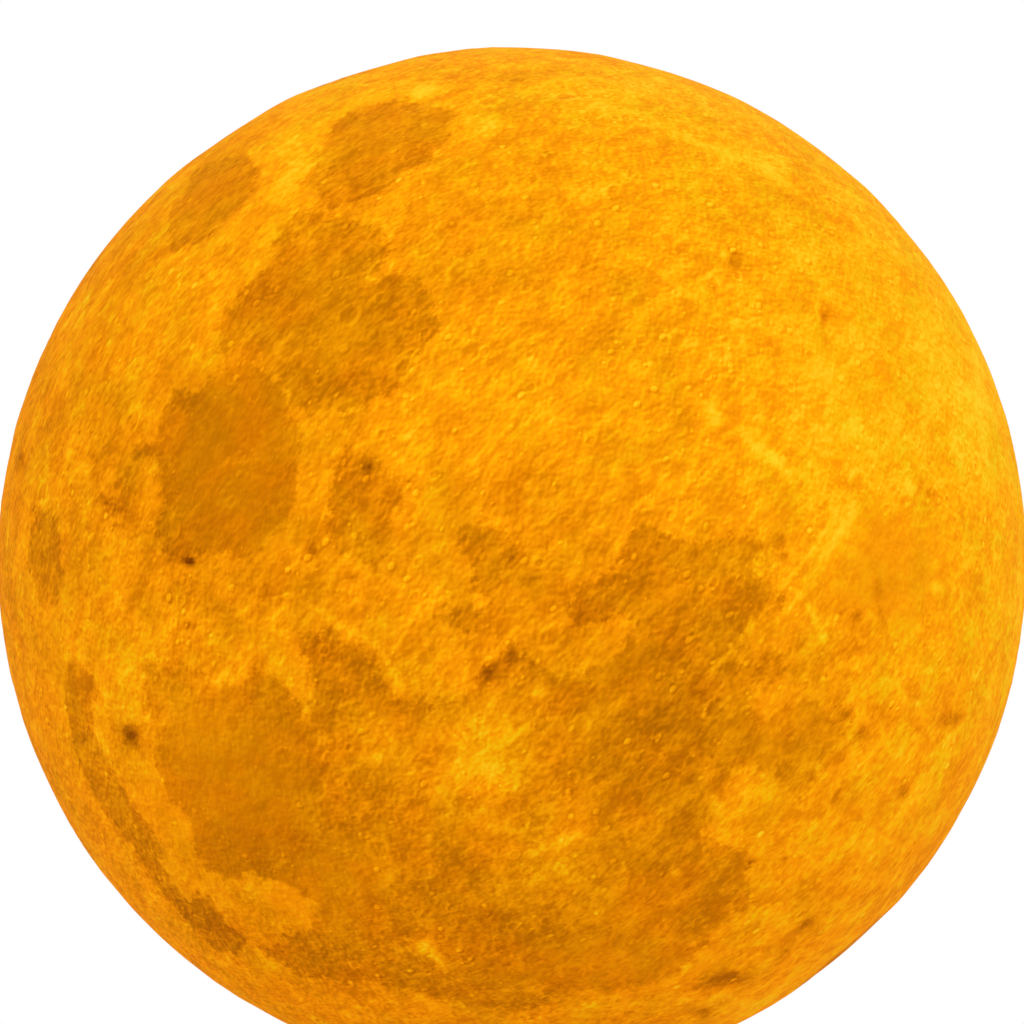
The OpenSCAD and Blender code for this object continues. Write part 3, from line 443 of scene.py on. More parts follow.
# %% Craters and the turn of the globe
north_turn, front_lat, front_lon = 111, -1.5, -3.6
moon_radius_km = 1737.4
craters = [
    (51.6, -9.4, 101), (9.6, -20.1, 93), (-43.3, -11.4, 85), (8.1, -38, 45), (23.7, -47.4, 45),
    (-5.2, -68.6, 173), (-58.8, -14.1, 231), (-44.3, -55.3, 227), (-9.3, -1.9, 154), (-13.4, -2.8, 112),
    (-18.7, -1.9, 97), (-11.4, 26.4, 100), (-13.2, 24.1, 98), (-18, 23.6, 100), (-25.3, 60.4, 177),
    (-8.9, 60.9, 132), (29.7, -4, 83), (-17.5, -39.9, 110), (-29.9, -13.5, 106), (53.6, 56.5, 125),
    (46.7, 44.4, 87), (46.7, 39.1, 69), (31.8, 29.9, 95), (-3.3, -74.3, 146), (14.5, -11.3, 58),
    (-41.1, 6, 114), (-51.8, 4.8, 105), (-49.5, -14.6, 162), (-29.7, 32.1, 88), (-38.5, 26.5, 70),
    (-48.1, 16, 70), (-33, 1, 115), (-25.5, -1.9, 118), (-55, 33, 120), (-72, -60, 130),
    (-20.4, 129.1, 180), (-4.4, -157.4, 437), (2.6, -129.2, 400), (-36.1, -151.8, 420), (5.7, 140.9, 250),
    (-75, 132.4, 312), (58.7, -146, 345), (-34, 163, 282), (58, 100, 250), (-63, -160, 300),
    (38, -100, 200), (10, 165, 180), (-50, 100, 260), (0, 100, 200), (40, 170, 160), (20, -165, 150),
    (-20, -120, 170), (10, 120, 160), (70, 30, 130), (75, -90, 150),
]
crater_depth_mm = 0.26
plain_depth_mm = 0.25


def site(lat, lon):
    """The direction of a place on the Moon, as the globe is turned."""
    turns = [("Z", -90), ("X", north_turn), ("Y", front_lat), ("Z", lon - front_lon), ("Y", -lat)]
    direction = Vector((1, 0, 0))
    for axis, angle in reversed(turns):
        direction = Matrix.Rotation(math.radians(angle), 3, axis) @ direction
    return np.array(direction)


def face_site(right, up):
    """The direction of a place on the front face, in millimetres right and up."""
    towards = math.sqrt(max(R_MM ** 2 - right ** 2 - up ** 2, 0))
    return np.array((right, -towards, up)) / math.hypot(right, up, towards)


def rolled_out(points):
    """Face millimetres as places on the flat map, which keeps the distance from the middle."""
    points = np.asarray(points, float)
    away = np.linalg.norm(points, axis=-1, keepdims=True)
    return points * R_MM * np.arcsin(np.clip(away / R_MM, 0, 1)) / np.maximum(away, 1e-9)


# %% [markdown]
# ## The skin as a mesh
#
# A sphere of latitude rings has poles, where the triangles crowd. A cube blown up to a sphere has none. Its
# grid lines are pulled towards the front, because the front carries the face: the spacing is about 0.7 mm
# there and 1.2 mm behind.

# %% Blow a cube up to a sphere
grid_steps = 120
front_pull = 0.24


def sphere_skin(steps):
    """A sphere of quads about the origin, radius 1. Returns vertices and faces."""
    at = np.tan(np.linspace(-math.pi / 4, math.pi / 4, steps + 1))
    u, v = (g.ravel() for g in np.meshgrid(at, at, indexing="ij"))
    one = np.ones_like(u)
    sides = [(one, u, v), (-one, -u, v), (-u, one, v), (u, -one, v), (-v, u, one), (v, u, -one)]
    vertices = np.concatenate([np.stack(side, axis=1) for side in sides])
    vertices /= np.linalg.norm(vertices, axis=1, keepdims=True)
    row = np.arange(steps)
    a = (row[:, None] * (steps + 1) + row[None, :]).ravel()
    quad = np.stack([a, a + steps + 1, a + steps + 2, a + 1], axis=1)
    faces = np.concatenate([quad + i * (steps + 1) ** 2 for i in range(6)])
    _, first, same = np.unique(np.round(vertices, 7), axis=0, return_index=True, return_inverse=True)
    return vertices[first], same.ravel()[faces]


skin, skin_faces = sphere_skin(grid_steps)
angle = np.arccos(np.clip(-skin[:, 1], -1, 1))
pulled = angle - front_pull * np.sin(angle)
side = skin[:, [0, 2]] / np.maximum(np.sin(angle), 1e-9)[:, None]
skin = np.stack([side[:, 0] * np.sin(pulled), -np.cos(pulled), side[:, 1] * np.sin(pulled)], axis=1)
flat = side * (R_MM * pulled)[:, None]
print(f"skin: {len(skin)} vertices, {2 * len(skin_faces)} triangles")

# %% [markdown]
# ## Fields on the skin
#
# Each vertex now gets a few numbers that the material reads: how far it lies inside a plain, how much the
# ground is toned, how smooth it is, and how near it is to a mark. Distances vary smoothly from vertex to
# vertex, so a border that is cut from them later can be much finer than the mesh.

# %% Distances to outlines and ovals
oval_reach_mm, oval_cut = 30, 10   # past this reach an oval is cut off fast, so that none shows on the back
plain_reach_mm = 12                # distances from the plains' borders are kept up to this
tone_fall, quiet_fall = 0.7, 0.5   # how fast an oval fades from its middle


def inside_by(points, outline):
    """How far each point lies inside a closed outline, in millimetres: negative outside."""
    near = np.full(len(points), 1e9)
    crossings = np.zeros(len(points), bool)
    for start, end in zip(outline, np.roll(outline, -1, axis=0)):
        run = end - start
        share = np.clip(((points - start) @ run) / (run @ run), 0, 1)
        near = np.minimum(near, np.linalg.norm(points - start - share[:, None] * run, axis=1))
        spans = (start[1] > points[:, 1]) != (end[1] > points[:, 1])
        with np.errstate(divide="ignore", invalid="ignore"):
            cut = start[0] + (points[:, 1] - start[1]) * run[0] / run[1]
        crossings ^= spans & (points[:, 0] < cut)
    return np.where(crossings, near, -near)


def oval_distance(oval):
    """Squared distance of each vertex from an oval's middle, in units of its half length and half width."""
    right, up, half_length, half_width, turn, _ = oval
    middle = face_site(right, up)
    turn = math.radians(turn)
    along = np.array((math.cos(turn), 0, math.sin(turn)))
    across = np.array((-math.sin(turn), 0, math.cos(turn)))
    off = (skin - middle) * R_MM
    behind = np.maximum(np.linalg.norm(off, axis=1) - oval_reach_mm, 0) * oval_cut
    return (off @ along / half_length) ** 2 + (off @ across / half_width) ** 2 + behind


plain = np.full(len(skin), -1e9)
for outline in plains.values():
    plain = np.maximum(plain, inside_by(flat, rolled_out(outline)))
for lat, lon, radius in far_plains:
    away = np.arccos(np.clip(skin @ site(lat, lon), -1, 1))
    plain = np.maximum(plain, R_MM * (math.radians(radius) - away))
plain = np.clip(plain, -plain_reach_mm, plain_reach_mm)

tone = np.zeros(len(skin))
for oval in tones:
    tone += oval[5] * np.exp(-tone_fall * oval_distance(oval))
quiet = np.zeros(len(skin))
for oval in quiet_places:
    quiet = np.maximum(quiet, oval[5] * np.exp(-quiet_fall * oval_distance(oval) ** 2))
plain_share = (plain > 0).mean() * 100
print(f"{plain_share:.0f}% of the skin lies in the plains, tones from {tone.min():.0f} to {tone.max():.0f}")

# %% Marks and rays
mark_cap = 6.0                     # squared distances from marks and rays are kept up to this
mark_edge = 4.0                    # past this one a mark has faded


def nearest_marks(ovals):
    """For each vertex the squared distance to the nearest mark, and that mark's strength."""
    near = np.full(len(skin), mark_cap)
    lift = np.zeros(len(skin))
    for oval in ovals:
        away = oval_distance(oval)
        closer = away < near
        near[closer] = away[closer]
        lift = np.where(away < mark_cap, np.maximum(lift, oval[5]), lift)
    return near, lift


dark_near, dark_lift = nearest_marks(dark_marks)
pale_near, pale_lift = nearest_marks(pale_marks)

ray_near = np.full(len(skin), mark_cap)
ray_lift = np.zeros(len(skin))
for start, end, half_width, lift in rays:
    start, end = rolled_out(start), rolled_out(end)
    run = end - start
    share = np.clip(((flat - start) @ run) / (run @ run), 0, 1)
    away = (np.linalg.norm(flat - start - share[:, None] * run, axis=1) / half_width) ** 2
    ray_near = np.minimum(ray_near, away)
    ray_lift = np.where(away < mark_cap, np.maximum(ray_lift, lift), ray_lift)
marked = np.minimum(np.minimum(dark_near, pale_near), ray_near) < mark_edge
print(f"marks or rays touch {marked.mean() * 100:.1f}% of the skin")

# %% [markdown]
# ## Relief
#
# The printed globe has real relief: the plains lie lower, the bright ground is rough, and craters are bowls
# with raised rims. It is all made by moving vertices outward or inward. The colour also gets a painted
# highlight on each rim and painted shade in each bowl, so each vertex keeps how far it lies on a rim or in a
# bowl. The front has marks of its own for most of its craters, so there this painted shading is weak.

# %% Heights
rough_mm, rough_size_mm = 0.1, 8.0
plain_border_mm, plain_calm = 1.2, 0.75
smallest_radius_mm = 1.1
deepest_share = 0.28               # of a crater's radius
# How pale the painted highlight on a rim is, and how dark the painted shade in a bowl, each with how far it
# spreads as a share of the radius
rim_painted_highlight, rim_width, bowl_painted_shade, bowl_share = 0.9, 0.16, 0.4, 0.9
# How strong the painted rim highlight and bowl shade are, on the front and on the back
front_shade, back_shade = 0.3, 1.0


def crater_profile(share):
    """A crater's height, in units of its depth, at a share of its radius: a bowl, a rim and a slope."""
    bowl = -1.0 + 1.25 * share ** 2.4
    slope = 0.25 * np.exp(-((share - 1) / 0.22) ** 2)
    return np.where(share < 1, np.minimum(bowl, 0.25), slope)


in_plain = 1 / (1 + np.exp(-plain / plain_border_mm))
bumps = np.array([noise.fractal(Vector(p * R_MM / rough_size_mm), 0.9, 2.1, 3) for p in skin])
height = -plain_depth_mm * in_plain + rough_mm * bumps * (1 - plain_calm * in_plain)
crater = np.zeros(len(skin))
for lat, lon, diameter in craters:
    radius = max(R_MM * diameter / 2 / moon_radius_km, smallest_radius_mm)
    away = R_MM * np.arccos(np.clip(skin @ site(lat, lon), -1, 1)) / radius
    profile = np.where(away < 2, crater_profile(away), 0)
    height += min(crater_depth_mm, deepest_share * radius) * profile
    # A painted highlight on the rim and painted shade in the bowl
    ring = rim_painted_highlight * np.exp(-((away - 1) / rim_width) ** 2) - np.where(away < bowl_share, bowl_painted_shade, 0)
    crater += ring * (front_shade if site(lat, lon)[1] < 0 else back_shade)
print(f"relief from {height.min():.2f} to {height.max():.2f} mm")

# %% The skin's mesh, with its fields
rim_quiet_mm = 2.5
above_rim = (skin[:, 2] * R_MM - (rim_z - globe_centre.z) / MM) / rim_quiet_mm
calm = np.clip(above_rim, 0, 1)
points = skin * ((R_MM + height * calm) * MM)[:, None] + np.array(globe_centre)

mesh = bpy.data.meshes.new("globe_skin")
mesh.from_pydata(points.tolist(), [], skin_faces.tolist())
fields = {"plain": plain, "tone": tone, "quiet": quiet, "crater": crater, "calm": calm,
          "dark_near": dark_near, "dark_lift": dark_lift, "pale_near": pale_near, "pale_lift": pale_lift,
          "ray_near": ray_near, "ray_lift": ray_lift}
for name, values in fields.items():
    mesh.attributes.new(name, "FLOAT", "POINT").data.foreach_set("value", values.astype(np.float32))
skin_object = put("globe_skin", mesh)
print(f"skin mesh with {len(fields)} fields")

# %% [markdown]
# ## Small craters by Geometry Nodes
#
# Hundreds of small craters cover the bright ground, and fewer the plains. They follow a rule, so Geometry
# Nodes stamp them: points are scattered with a fixed seed, each vertex finds its nearest point, and a curve
# turns the distance into a height, which it also adds to the painted highlight on rims and painted shade in
# bowls. The tree has named inputs, so the same tree runs three times, from large to small.

# %% A tree that stamps craters
def crater_tree():
    tree, given = new_tree("stamp_craters", {"Centre": "Vector", "Count": "Float", "Smallest": "Float",
                                             "Largest": "Float", "Depth": "Float", "Seed": "Int",
                                             "Material": "Material"})
    skin_area = 4 * math.pi * globe_r ** 2
    on_plain = add(tree, "GeometryNodeInputNamedAttribute", {"data_type": "FLOAT"}, {"Name": "plain"})
    thinned = add(tree, "ShaderNodeMapRange",
                  inputs={"Value": on_plain, "From Min": -1.0, "To Min": 1.0, "To Max": 0.25})
    density = given["Count"] / skin_area * Amount(thinned)
    scatter = add(tree, "GeometryNodeDistributePointsOnFaces", {"distribute_method": "RANDOM"},
                  {"Mesh": given["Geometry"], "Density": density, "Seed": given["Seed"]})
    chance = add(tree, "FunctionNodeRandomValue", {"data_type": "FLOAT"}, {"Seed": given["Seed"]})
    mostly_small = Amount(chance).by("POWER", 2.2)
    radius = mostly_small * (given["Largest"] - given["Smallest"]) + given["Smallest"]
    place = add(tree, "GeometryNodeInputPosition")
    nearest = add(tree, "GeometryNodeSampleNearest", {"domain": "POINT"}, {"Geometry": scatter})
    its_place = add(tree, "GeometryNodeSampleIndex", {"data_type": "FLOAT_VECTOR"},
                    {"Geometry": scatter, "Value": place, "Index": nearest})
    its_radius = Amount(add(tree, "GeometryNodeSampleIndex", {"data_type": "FLOAT"},
                            {"Geometry": scatter, "Value": radius, "Index": nearest}))
    away = Amount(add(tree, "ShaderNodeVectorMath", {"operation": "DISTANCE"}, {0: place, 1: its_place}))
    share = (away / its_radius / 1.6).by("MINIMUM", 1.0)
    profile = add(tree, "ShaderNodeFloatCurve", inputs={"Value": share})
    shape_curve(profile, [(0, 0.12), (0.3, 0.16), (0.5, 0.5), (0.6, 0.72), (0.75, 0.57)])
    calm_here = add(tree, "GeometryNodeInputNamedAttribute", {"data_type": "FLOAT"}, {"Name": "calm"})
    level = (Amount(profile) - 0.5) * Amount(calm_here)
    outward = add(tree, "ShaderNodeVectorMath", {"operation": "SUBTRACT"}, {0: place, 1: given["Centre"]})
    outward = add(tree, "ShaderNodeVectorMath", {"operation": "NORMALIZE"}, {0: outward})
    lift = add(tree, "ShaderNodeVectorMath", {"operation": "SCALE"},
               {0: outward, "Scale": level * its_radius * given["Depth"]})
    # The level also goes into the crater field: painted highlight on rims, painted shade in bowls
    before = add(tree, "GeometryNodeInputNamedAttribute", {"data_type": "FLOAT"}, {"Name": "crater"})
    noted = add(tree, "GeometryNodeStoreNamedAttribute", {"data_type": "FLOAT", "domain": "POINT"},
                {"Geometry": given["Geometry"], "Name": "crater", "Value": Amount(before) + level})
    moved = add(tree, "GeometryNodeSetPosition", inputs={"Geometry": noted, "Offset": lift})
    return close_tree(tree, moved, given["Material"])


def shape_curve(node, points):
    """Gives a Float Curve its points. The curve ends level, at a half."""
    curve = node.mapping.curves[0]
    curve.points[0].location = points[0]
    curve.points[1].location = (1, 0.5)
    for at in points[1:]:
        curve.points.new(*at)
    node.mapping.update()


# %% [markdown]
# ## The globe's own material
#
# The shell is resin, printed layer by layer, and warm light from inside shines through it. It has no gloss.
# Its colour runs from dark amber in the plains to yellow on the bright ground. All of this is one scale, so
# the material adds up one number, the tone, and a ramp turns it into colour. The tone is counted in steps
# of 255 of the green part of the colour, because that is what one can read off a picture of such a lamp.

# %% Backlit printed resin
glow_share = 0.55
globe_resin, tree, shader = finish("backlit_printed_resin", "#F59608", 0.92, Specular_IOR_Level=0.02,
                                   Emission_Strength=glow_share)
spot = add(tree, "ShaderNodeTexCoord").outputs["Object"]
centred = add(tree, "ShaderNodeVectorMath", {"operation": "SUBTRACT"}, {0: spot, 1: globe_centre})
at_mm = add(tree, "ShaderNodeVectorMath", {"operation": "SCALE"}, {0: centred, "Scale": 1 / MM})
askew = add(tree, "ShaderNodeMapping", inputs={"Vector": at_mm, "Rotation": (0.6, 0.9, 0.35)})
on_skin = {name: Amount(add(tree, "ShaderNodeAttribute", {"attribute_name": name}).outputs["Fac"])
           for name in fields}


def grain(size_mm, swing, detail=4.0, roughness=0.55, place=askew):
    """Noise with patches of about a size in mm, that swings between minus and plus a value."""
    noisy = add(tree, "ShaderNodeTexNoise", inputs={"Vector": place, "Scale": 1 / size_mm, "Detail": detail,
                                                    "Roughness": roughness})
    return Amount(noisy) * (2 * swing) - swing


# %% [markdown]
# Shade and highlight are painted into the colour, as if the fine relief were lit from one side. That comes
# from reading the fine relief twice, a little apart, and taking the difference, as an embossing tool does.
# The fine relief itself is rough ground, with creases where the noise crosses its middle, and with rings and
# knobs round scattered points. It is drawn out a little along one direction, as the craters' walls and ridges
# of the real print are.

# %% The fine relief of the print
def cells(place, size_mm, shape, shift):
    """A height round scattered points, by a curve of the distance, with its own strength at each point."""
    moved = add(tree, "ShaderNodeVectorMath", {"operation": "ADD"}, {0: place, 1: (shift,) * 3})
    spots = add(tree, "ShaderNodeTexVoronoi", inputs={"Vector": moved, "Scale": 1 / size_mm})
    profile = add(tree, "ShaderNodeFloatCurve", inputs={"Value": spots.outputs["Distance"]})
    shape_curve(profile, shape)
    chance = add(tree, "ShaderNodeSeparateColor", inputs={"Color": spots.outputs["Color"]}).outputs["Red"]
    return (Amount(profile) - 0.5) * Amount(chance).by("POWER", 2.0)


# A ring is a painted highlight round a middle darkened with painted shade
ring_shape = [(0, 0.28), (0.16, 0.3), (0.27, 0.95), (0.36, 0.6), (0.48, 0.5)]
knob_shape = [(0, 1.0), (0.14, 0.9), (0.24, 0.42), (0.36, 0.5)]
wobble_mm, wobble_size_mm = 0.5, 1.8
stroke_turn, stroke_stretch = (0.6, -0.85, 0.1), (1.4, 1, 1)
light_shift_mm = (0.05, 0.3, 0.3)


def terrain(place):
    """The fine relief at a place, in steps of tone."""
    wobble = add(tree, "ShaderNodeTexNoise",
                 inputs={"Vector": place, "Scale": 1 / wobble_size_mm, "Detail": 1.0})
    place = add(tree, "ShaderNodeVectorMath", {"operation": "MULTIPLY_ADD"},
                {0: wobble.outputs["Color"], 1: (wobble_mm,) * 3, 2: place})
    creases = grain(4.0, 1.0, 2.5, 0.65, place).by("ABSOLUTE").by("MINIMUM", 0.2)
    # Two sizes each of knobs and rings: spacing in millimetres, shape, a shift that parts them, and strength
    knobs = cells(place, 2.4, knob_shape, 40.0) * 55 + cells(place, 1.4, knob_shape, 60.0) * 36
    rings = cells(place, 5.5, ring_shape, 0.0) * 30 + cells(place, 2.6, ring_shape, 17.0) * 22
    return grain(4.6, 66, 3.3, 0.86, place) - creases * 26 + knobs + rings + 3.5


strokes = add(tree, "ShaderNodeMapping", {"vector_type": "TEXTURE"},
              {"Vector": at_mm, "Rotation": stroke_turn, "Scale": stroke_stretch})
light_step = add(tree, "ShaderNodeVectorMath", {"operation": "ADD"}, {0: strokes, 1: light_shift_mm})
fine = terrain(strokes)
# Painted shade and highlight: the fine relief read twice, a little apart, and the difference taken
painted_relief_shading = fine - terrain(light_step)

# %% [markdown]
# The plains have ragged edges, so noise of two sizes bends the distance from them before it is cut to a
# step. Inside them the ground is darker. The whole face grows lighter towards the upper right. The mottle
# is held back where it would grow too dark, because the print has few deep shadows, and it is calmer where
# the ground is smooth.

# %% The tone of the ground
bright_ground, plain_drop = 152.0, 26.0
slope_per_mm, slope_least, slope_most = 0.19, -10.0, 19.0
fine_gain, painted_relief_shading_gain = 0.8, 0.8
deepest_mottle, mottle_easing = -24.0, 16.0
quiet_loss = 0.55                  # of the mottle, where the ground is smooth
crater_painted_shading_gain, dark_gain, pale_gain = 14.0, 1.35, 1.2

ragged = on_skin["plain"] + grain(8, 5.0, 8, 0.68) + grain(1.6, 2.6, 4, 0.7)
in_plain_now = Amount(add(tree, "ShaderNodeMapRange", {"interpolation_type": "SMOOTHSTEP"},
                          {"Value": ragged, "From Min": -0.7, "From Max": 0.8}))
parts = add(tree, "ShaderNodeSeparateXYZ", inputs={0: at_mm})
slope = (Amount(parts.outputs["X"]) + Amount(parts.outputs["Z"])) * slope_per_mm
slope = slope.by("MINIMUM", slope_most).by("MAXIMUM", slope_least)
# The mottle holds the fine relief as tone, and the painted shade and highlight of the emboss
mottle = grain(12, 24, 5, 0.62) + fine * fine_gain + painted_relief_shading * painted_relief_shading_gain
mottle = mottle.by("SMOOTH_MAX", deepest_mottle, mottle_easing) * (on_skin["quiet"] * -quiet_loss + 1.0)
# The crater field adds painted highlight on rims and painted shade in bowls
ground = mottle + slope + on_skin["tone"] + on_skin["crater"] * crater_painted_shading_gain + bright_ground
ground = ground - in_plain_now * (grain(14, 0.45, 5) + 1.0) * plain_drop


def mark(kind, wobble=0.9):
    """The lift of a mark, full at its middle and gone at its edge, with an edge that wanders."""
    wander = on_skin[kind + "_near"] * (grain(1.6, wobble, 3) + 1.0)
    return on_skin[kind + "_lift"] * (wander * -0.8).by("EXPONENT")


ground = ground - mark("dark") * dark_gain + mark("pale") * pale_gain + mark("ray", 2.2)

# %% [markdown]
# Round each young crater lies an apron of pale dust that breaks up into flecks and rays, all pointing away
# from its middle. A noise that reads the direction from there, and the distance only slowly, stretches so
# by itself. The place it reads is bent a little by another noise first, so the rays aren't ruler-straight.

# %% Aprons of rays
fleck_mm = 4.0
bend_mm, bend_size_mm = 4.0, 3.5
fleck_gain, dust = 3.6, 0.55

bend = add(tree, "ShaderNodeTexNoise", inputs={"Vector": at_mm, "Scale": 1 / bend_size_mm, "Detail": 3.0})
bent = add(tree, "ShaderNodeVectorMath", {"operation": "MULTIPLY_ADD"},
           {0: bend.outputs["Color"], 1: (bend_mm,) * 3, 2: at_mm})
bent = add(tree, "ShaderNodeVectorMath", {"operation": "SUBTRACT"}, {0: bent, 1: (bend_mm / 2,) * 3})
for name, (right, up, reach_mm, lift) in sprays.items():
    middle = Vector(face_site(right, up) * R_MM)
    from_middle = add(tree, "ShaderNodeVectorMath", {"operation": "SUBTRACT"}, {0: bent, 1: middle})
    away = Amount(add(tree, "ShaderNodeVectorMath", {"operation": "LENGTH"}, {0: from_middle}))
    heading = add(tree, "ShaderNodeVectorMath", {"operation": "NORMALIZE"}, {0: from_middle})
    streaks = add(tree, "ShaderNodeTexNoise", {"noise_dimensions": "4D"}, {
        "Vector": heading, "W": away / (fleck_mm * 5), "Scale": 5.0, "Detail": 4.0, "Roughness": 0.7})
    flecks = (Amount(streaks) - 0.5) * (away / fleck_mm).by("MINIMUM", 1.0) * fleck_gain + dust
    ground = ground + flecks * (away / -reach_mm).by("EXPONENT") * lift

# %% From tone to colour
# Tones and their colours, from the darkest plain to the palest dust
amber = [(60, "#7C3C00"), (85, "#A55A00"), (105, "#C06C00"), (122, "#D67C00"), (134, "#E58801"),
         (146, "#F29302"), (156, "#FA9C04"), (168, "#FDAA05"), (182, "#FFB908"), (210, "#FFCF22")]
darkest, lightest = amber[0][0], amber[-1][0]
ramp = add(tree, "ShaderNodeValToRGB", inputs={"Fac": (ground - darkest) / (lightest - darkest)})
stops = ramp.color_ramp.elements
for i, (tone_at, colour) in enumerate(amber):
    place = (tone_at - darkest) / (lightest - darkest)
    stop = stops[0] if i == 0 else stops[-1] if tone_at == lightest else stops.new(place)
    stop.color = linear(colour)
# The ground leans to red in patches, and the plains lean to olive
olive, ruddy = (0.95, 1.01, 0.85, 1), (1.03, 0.98, 1.1, 1)
leaning = in_plain_now * -0.3 + grain(7, 2.0, 3, 0.55) + 0.7
hue = add(tree, "ShaderNodeMix", {"data_type": "RGBA"}, {"A": olive, "B": ruddy, "Factor": leaning})
printed = add(tree, "ShaderNodeMix", {"data_type": "RGBA", "blend_type": "MULTIPLY"},
              {"Factor": 1.0, "A": ramp, "B": hue})
lit = add(tree, "ShaderNodeMix", {"data_type": "RGBA", "blend_type": "MULTIPLY"},
          {"Factor": 1.0, "A": printed, "B": (*(1 - glow_share,) * 3, 1)})
tree.links.new(socket_of(lit), shader.inputs["Base Color"])
tree.links.new(socket_of(printed), shader.inputs["Emission Color"])
relief = add(tree, "ShaderNodeBump", inputs={"Strength": 0.35, "Distance": 0.4 * MM,
                                             "Height": grain(1.6, 0.4, 2) + 0.5})
tree.links.new(socket_of(relief), shader.inputs["Normal"])
print(f"backlit_printed_resin: {len(tree.nodes)} nodes")

# %% Stamp the craters
# How many, smallest and largest radius in millimetres, depth as a share of the radius, and seed
stamps = [(40, 2.4, 3.6, 0.1, 7), (300, 1.4, 2.4, 0.11, 21), (1000, 0.9, 1.4, 0.12, 42)]
stamp = crater_tree()
for count, smallest, largest, depth, seed in stamps:
    grow(skin_object, stamp, {"Centre": globe_centre, "Count": float(count), "Smallest": smallest * MM,
                              "Largest": largest * MM, "Depth": depth, "Seed": seed, "Material": globe_resin})
stamped = baked(skin_object)
print(f"stamped: {len(stamped.vertices)} vertices, {len(stamped.attributes)} fields")

# %% [markdown]
# ## The shell's neck and its inside
#
# The shell is hollow, and at its bottom it turns in to a short neck, in which the bayonet ring is glued.
# The sphere is cut at the rim. From the cut's own edge, rings of points go in, up the neck, out over its
# top and round the inside, so the shell is one closed solid with walls of the true thickness.

# %% Cut the opening and close the shell
wall = 1.8 * MM
neck_r, neck_height, neck_wall = 28.3 * MM, 8.0 * MM, 2.0 * MM
inside_rings = 26
weld, weld_band = 0.05 * MM, 1 * MM

bm = bmesh.new()
bm.from_mesh(stamped)
everything = bm.verts[:] + bm.edges[:] + bm.faces[:]
bmesh.ops.bisect_plane(bm, geom=everything, plane_co=(0, 0, rim_z), plane_no=(0, 0, 1), clear_inner=True)
bmesh.ops.remove_doubles(bm, verts=[v for v in bm.verts if v.co.z < rim_z + weld_band], dist=weld)
on_edge = {v for e in bm.edges if e.is_boundary for v in e.verts}
edge_ring = sorted(on_edge, key=lambda v: math.atan2(v.co.y, v.co.x))
headings = [Vector((v.co.x, v.co.y, 0)).normalized() for v in edge_ring]

inside_r = globe_r - wall
neck_out = neck_r + neck_wall
start_angle = math.asin(neck_out / inside_r)
steps = [(neck_r, rim_z), (neck_r, rim_z + neck_height), (neck_out, rim_z + neck_height)]
for i in range(inside_rings):
    angle = start_angle + (math.pi - start_angle) * i / inside_rings
    steps.append((inside_r * math.sin(angle), globe_centre.z - inside_r * math.cos(angle)))
before = edge_ring
for radius, z in steps:
    ring = [bm.verts.new((h.x * radius, h.y * radius, z)) for h in headings]
    for i, vertex in enumerate(ring):
        j = (i + 1) % len(ring)
        bm.faces.new((before[i], before[j], ring[j], vertex))
    before = ring
top = bm.verts.new((0, 0, globe_centre.z + inside_r))
for i, vertex in enumerate(before):
    bm.faces.new((vertex, before[(i + 1) % len(before)], top))
bmesh.ops.recalc_face_normals(bm, faces=bm.faces)
print(f"globe: {open_edges(bm)} open edges, {sum(len(f.verts) - 2 for f in bm.faces)} triangles")

globe_mesh = bpy.data.meshes.new("globe")
bm.to_mesh(globe_mesh)
bm.free()
globe_mesh.materials.clear()
globe_mesh.materials.append(globe_resin)
for polygon in globe_mesh.polygons:
    polygon.material_index = 0
piece("moon_globe", globe_mesh, "globe", ["globe_shell"], smooth_below=60)

# %% [markdown]
# ## Finishes for the base unit
#
# Most pieces of the base unit are moulded, plated or printed parts of one material each. What tells them
# apart close up is small: faint patches of tone, a roughness that is never quite even, and the grain of the
# mould or of the plating. One function sets these three on the piece's own coordinates, with sizes in
# millimetres. The pieces are small, so a grain under 0.3 mm would vanish, and each is drawn at least that
# coarse.

# %% A finish with patches, sheen and grain
def textured(name, colour, roughness, patch_mm, patch_swing, grain_mm, bump_mm, stretch=(1, 1, 1), **sockets):
    """A material whose tone, roughness and relief vary as those of a made surface do."""
    material, tree, shader = finish(name, colour, roughness, **sockets)
    spot = add(tree, "ShaderNodeTexCoord").outputs["Object"]
    place = add(tree, "ShaderNodeMapping", inputs={"Vector": spot, "Scale": stretch})
    patches = Amount(add(tree, "ShaderNodeTexNoise", inputs={"Vector": place, "Scale": 1 / (patch_mm * MM),
                                                             "Detail": 4.0}))
    swing = (patches * 5 - 2.5).by("MINIMUM", 1.0).by("MAXIMUM", -1.0)
    tinted = add(tree, "ShaderNodeHueSaturation",
                 inputs={"Color": linear(colour), "Value": swing * patch_swing + 1.0})
    grains = add(tree, "ShaderNodeTexNoise",
                 inputs={"Vector": place, "Scale": 1 / (grain_mm * MM), "Detail": 2.0})
    bump = add(tree, "ShaderNodeBump", inputs={"Strength": 0.6, "Distance": bump_mm * MM, "Height": grains})
    link(shader, {"Base Color": tinted, "Roughness": swing * (0.12 * roughness) + roughness, "Normal": bump})
    return material


def link(shader, sources):
    """Links sources to the shader's sockets, in place of what was linked there."""
    for name, source in sources.items():
        shader.id_data.links.new(socket_of(source), shader.inputs[name])


def two_tone(material, where, colour, metallic):
    """A second colour where an amount is 1, on a material that is metal elsewhere or nowhere."""
    tree, shader = material.node_tree, material.node_tree.nodes["Principled BSDF"]
    first = shader.inputs["Base Color"].links[0].from_socket
    both = add(tree, "ShaderNodeMix", {"data_type": "RGBA"},
               {"Factor": where, "A": first, "B": linear(colour)})
    link(shader, {"Base Color": both})
    if metallic:
        link(shader, {"Metallic": where * -metallic + metallic})


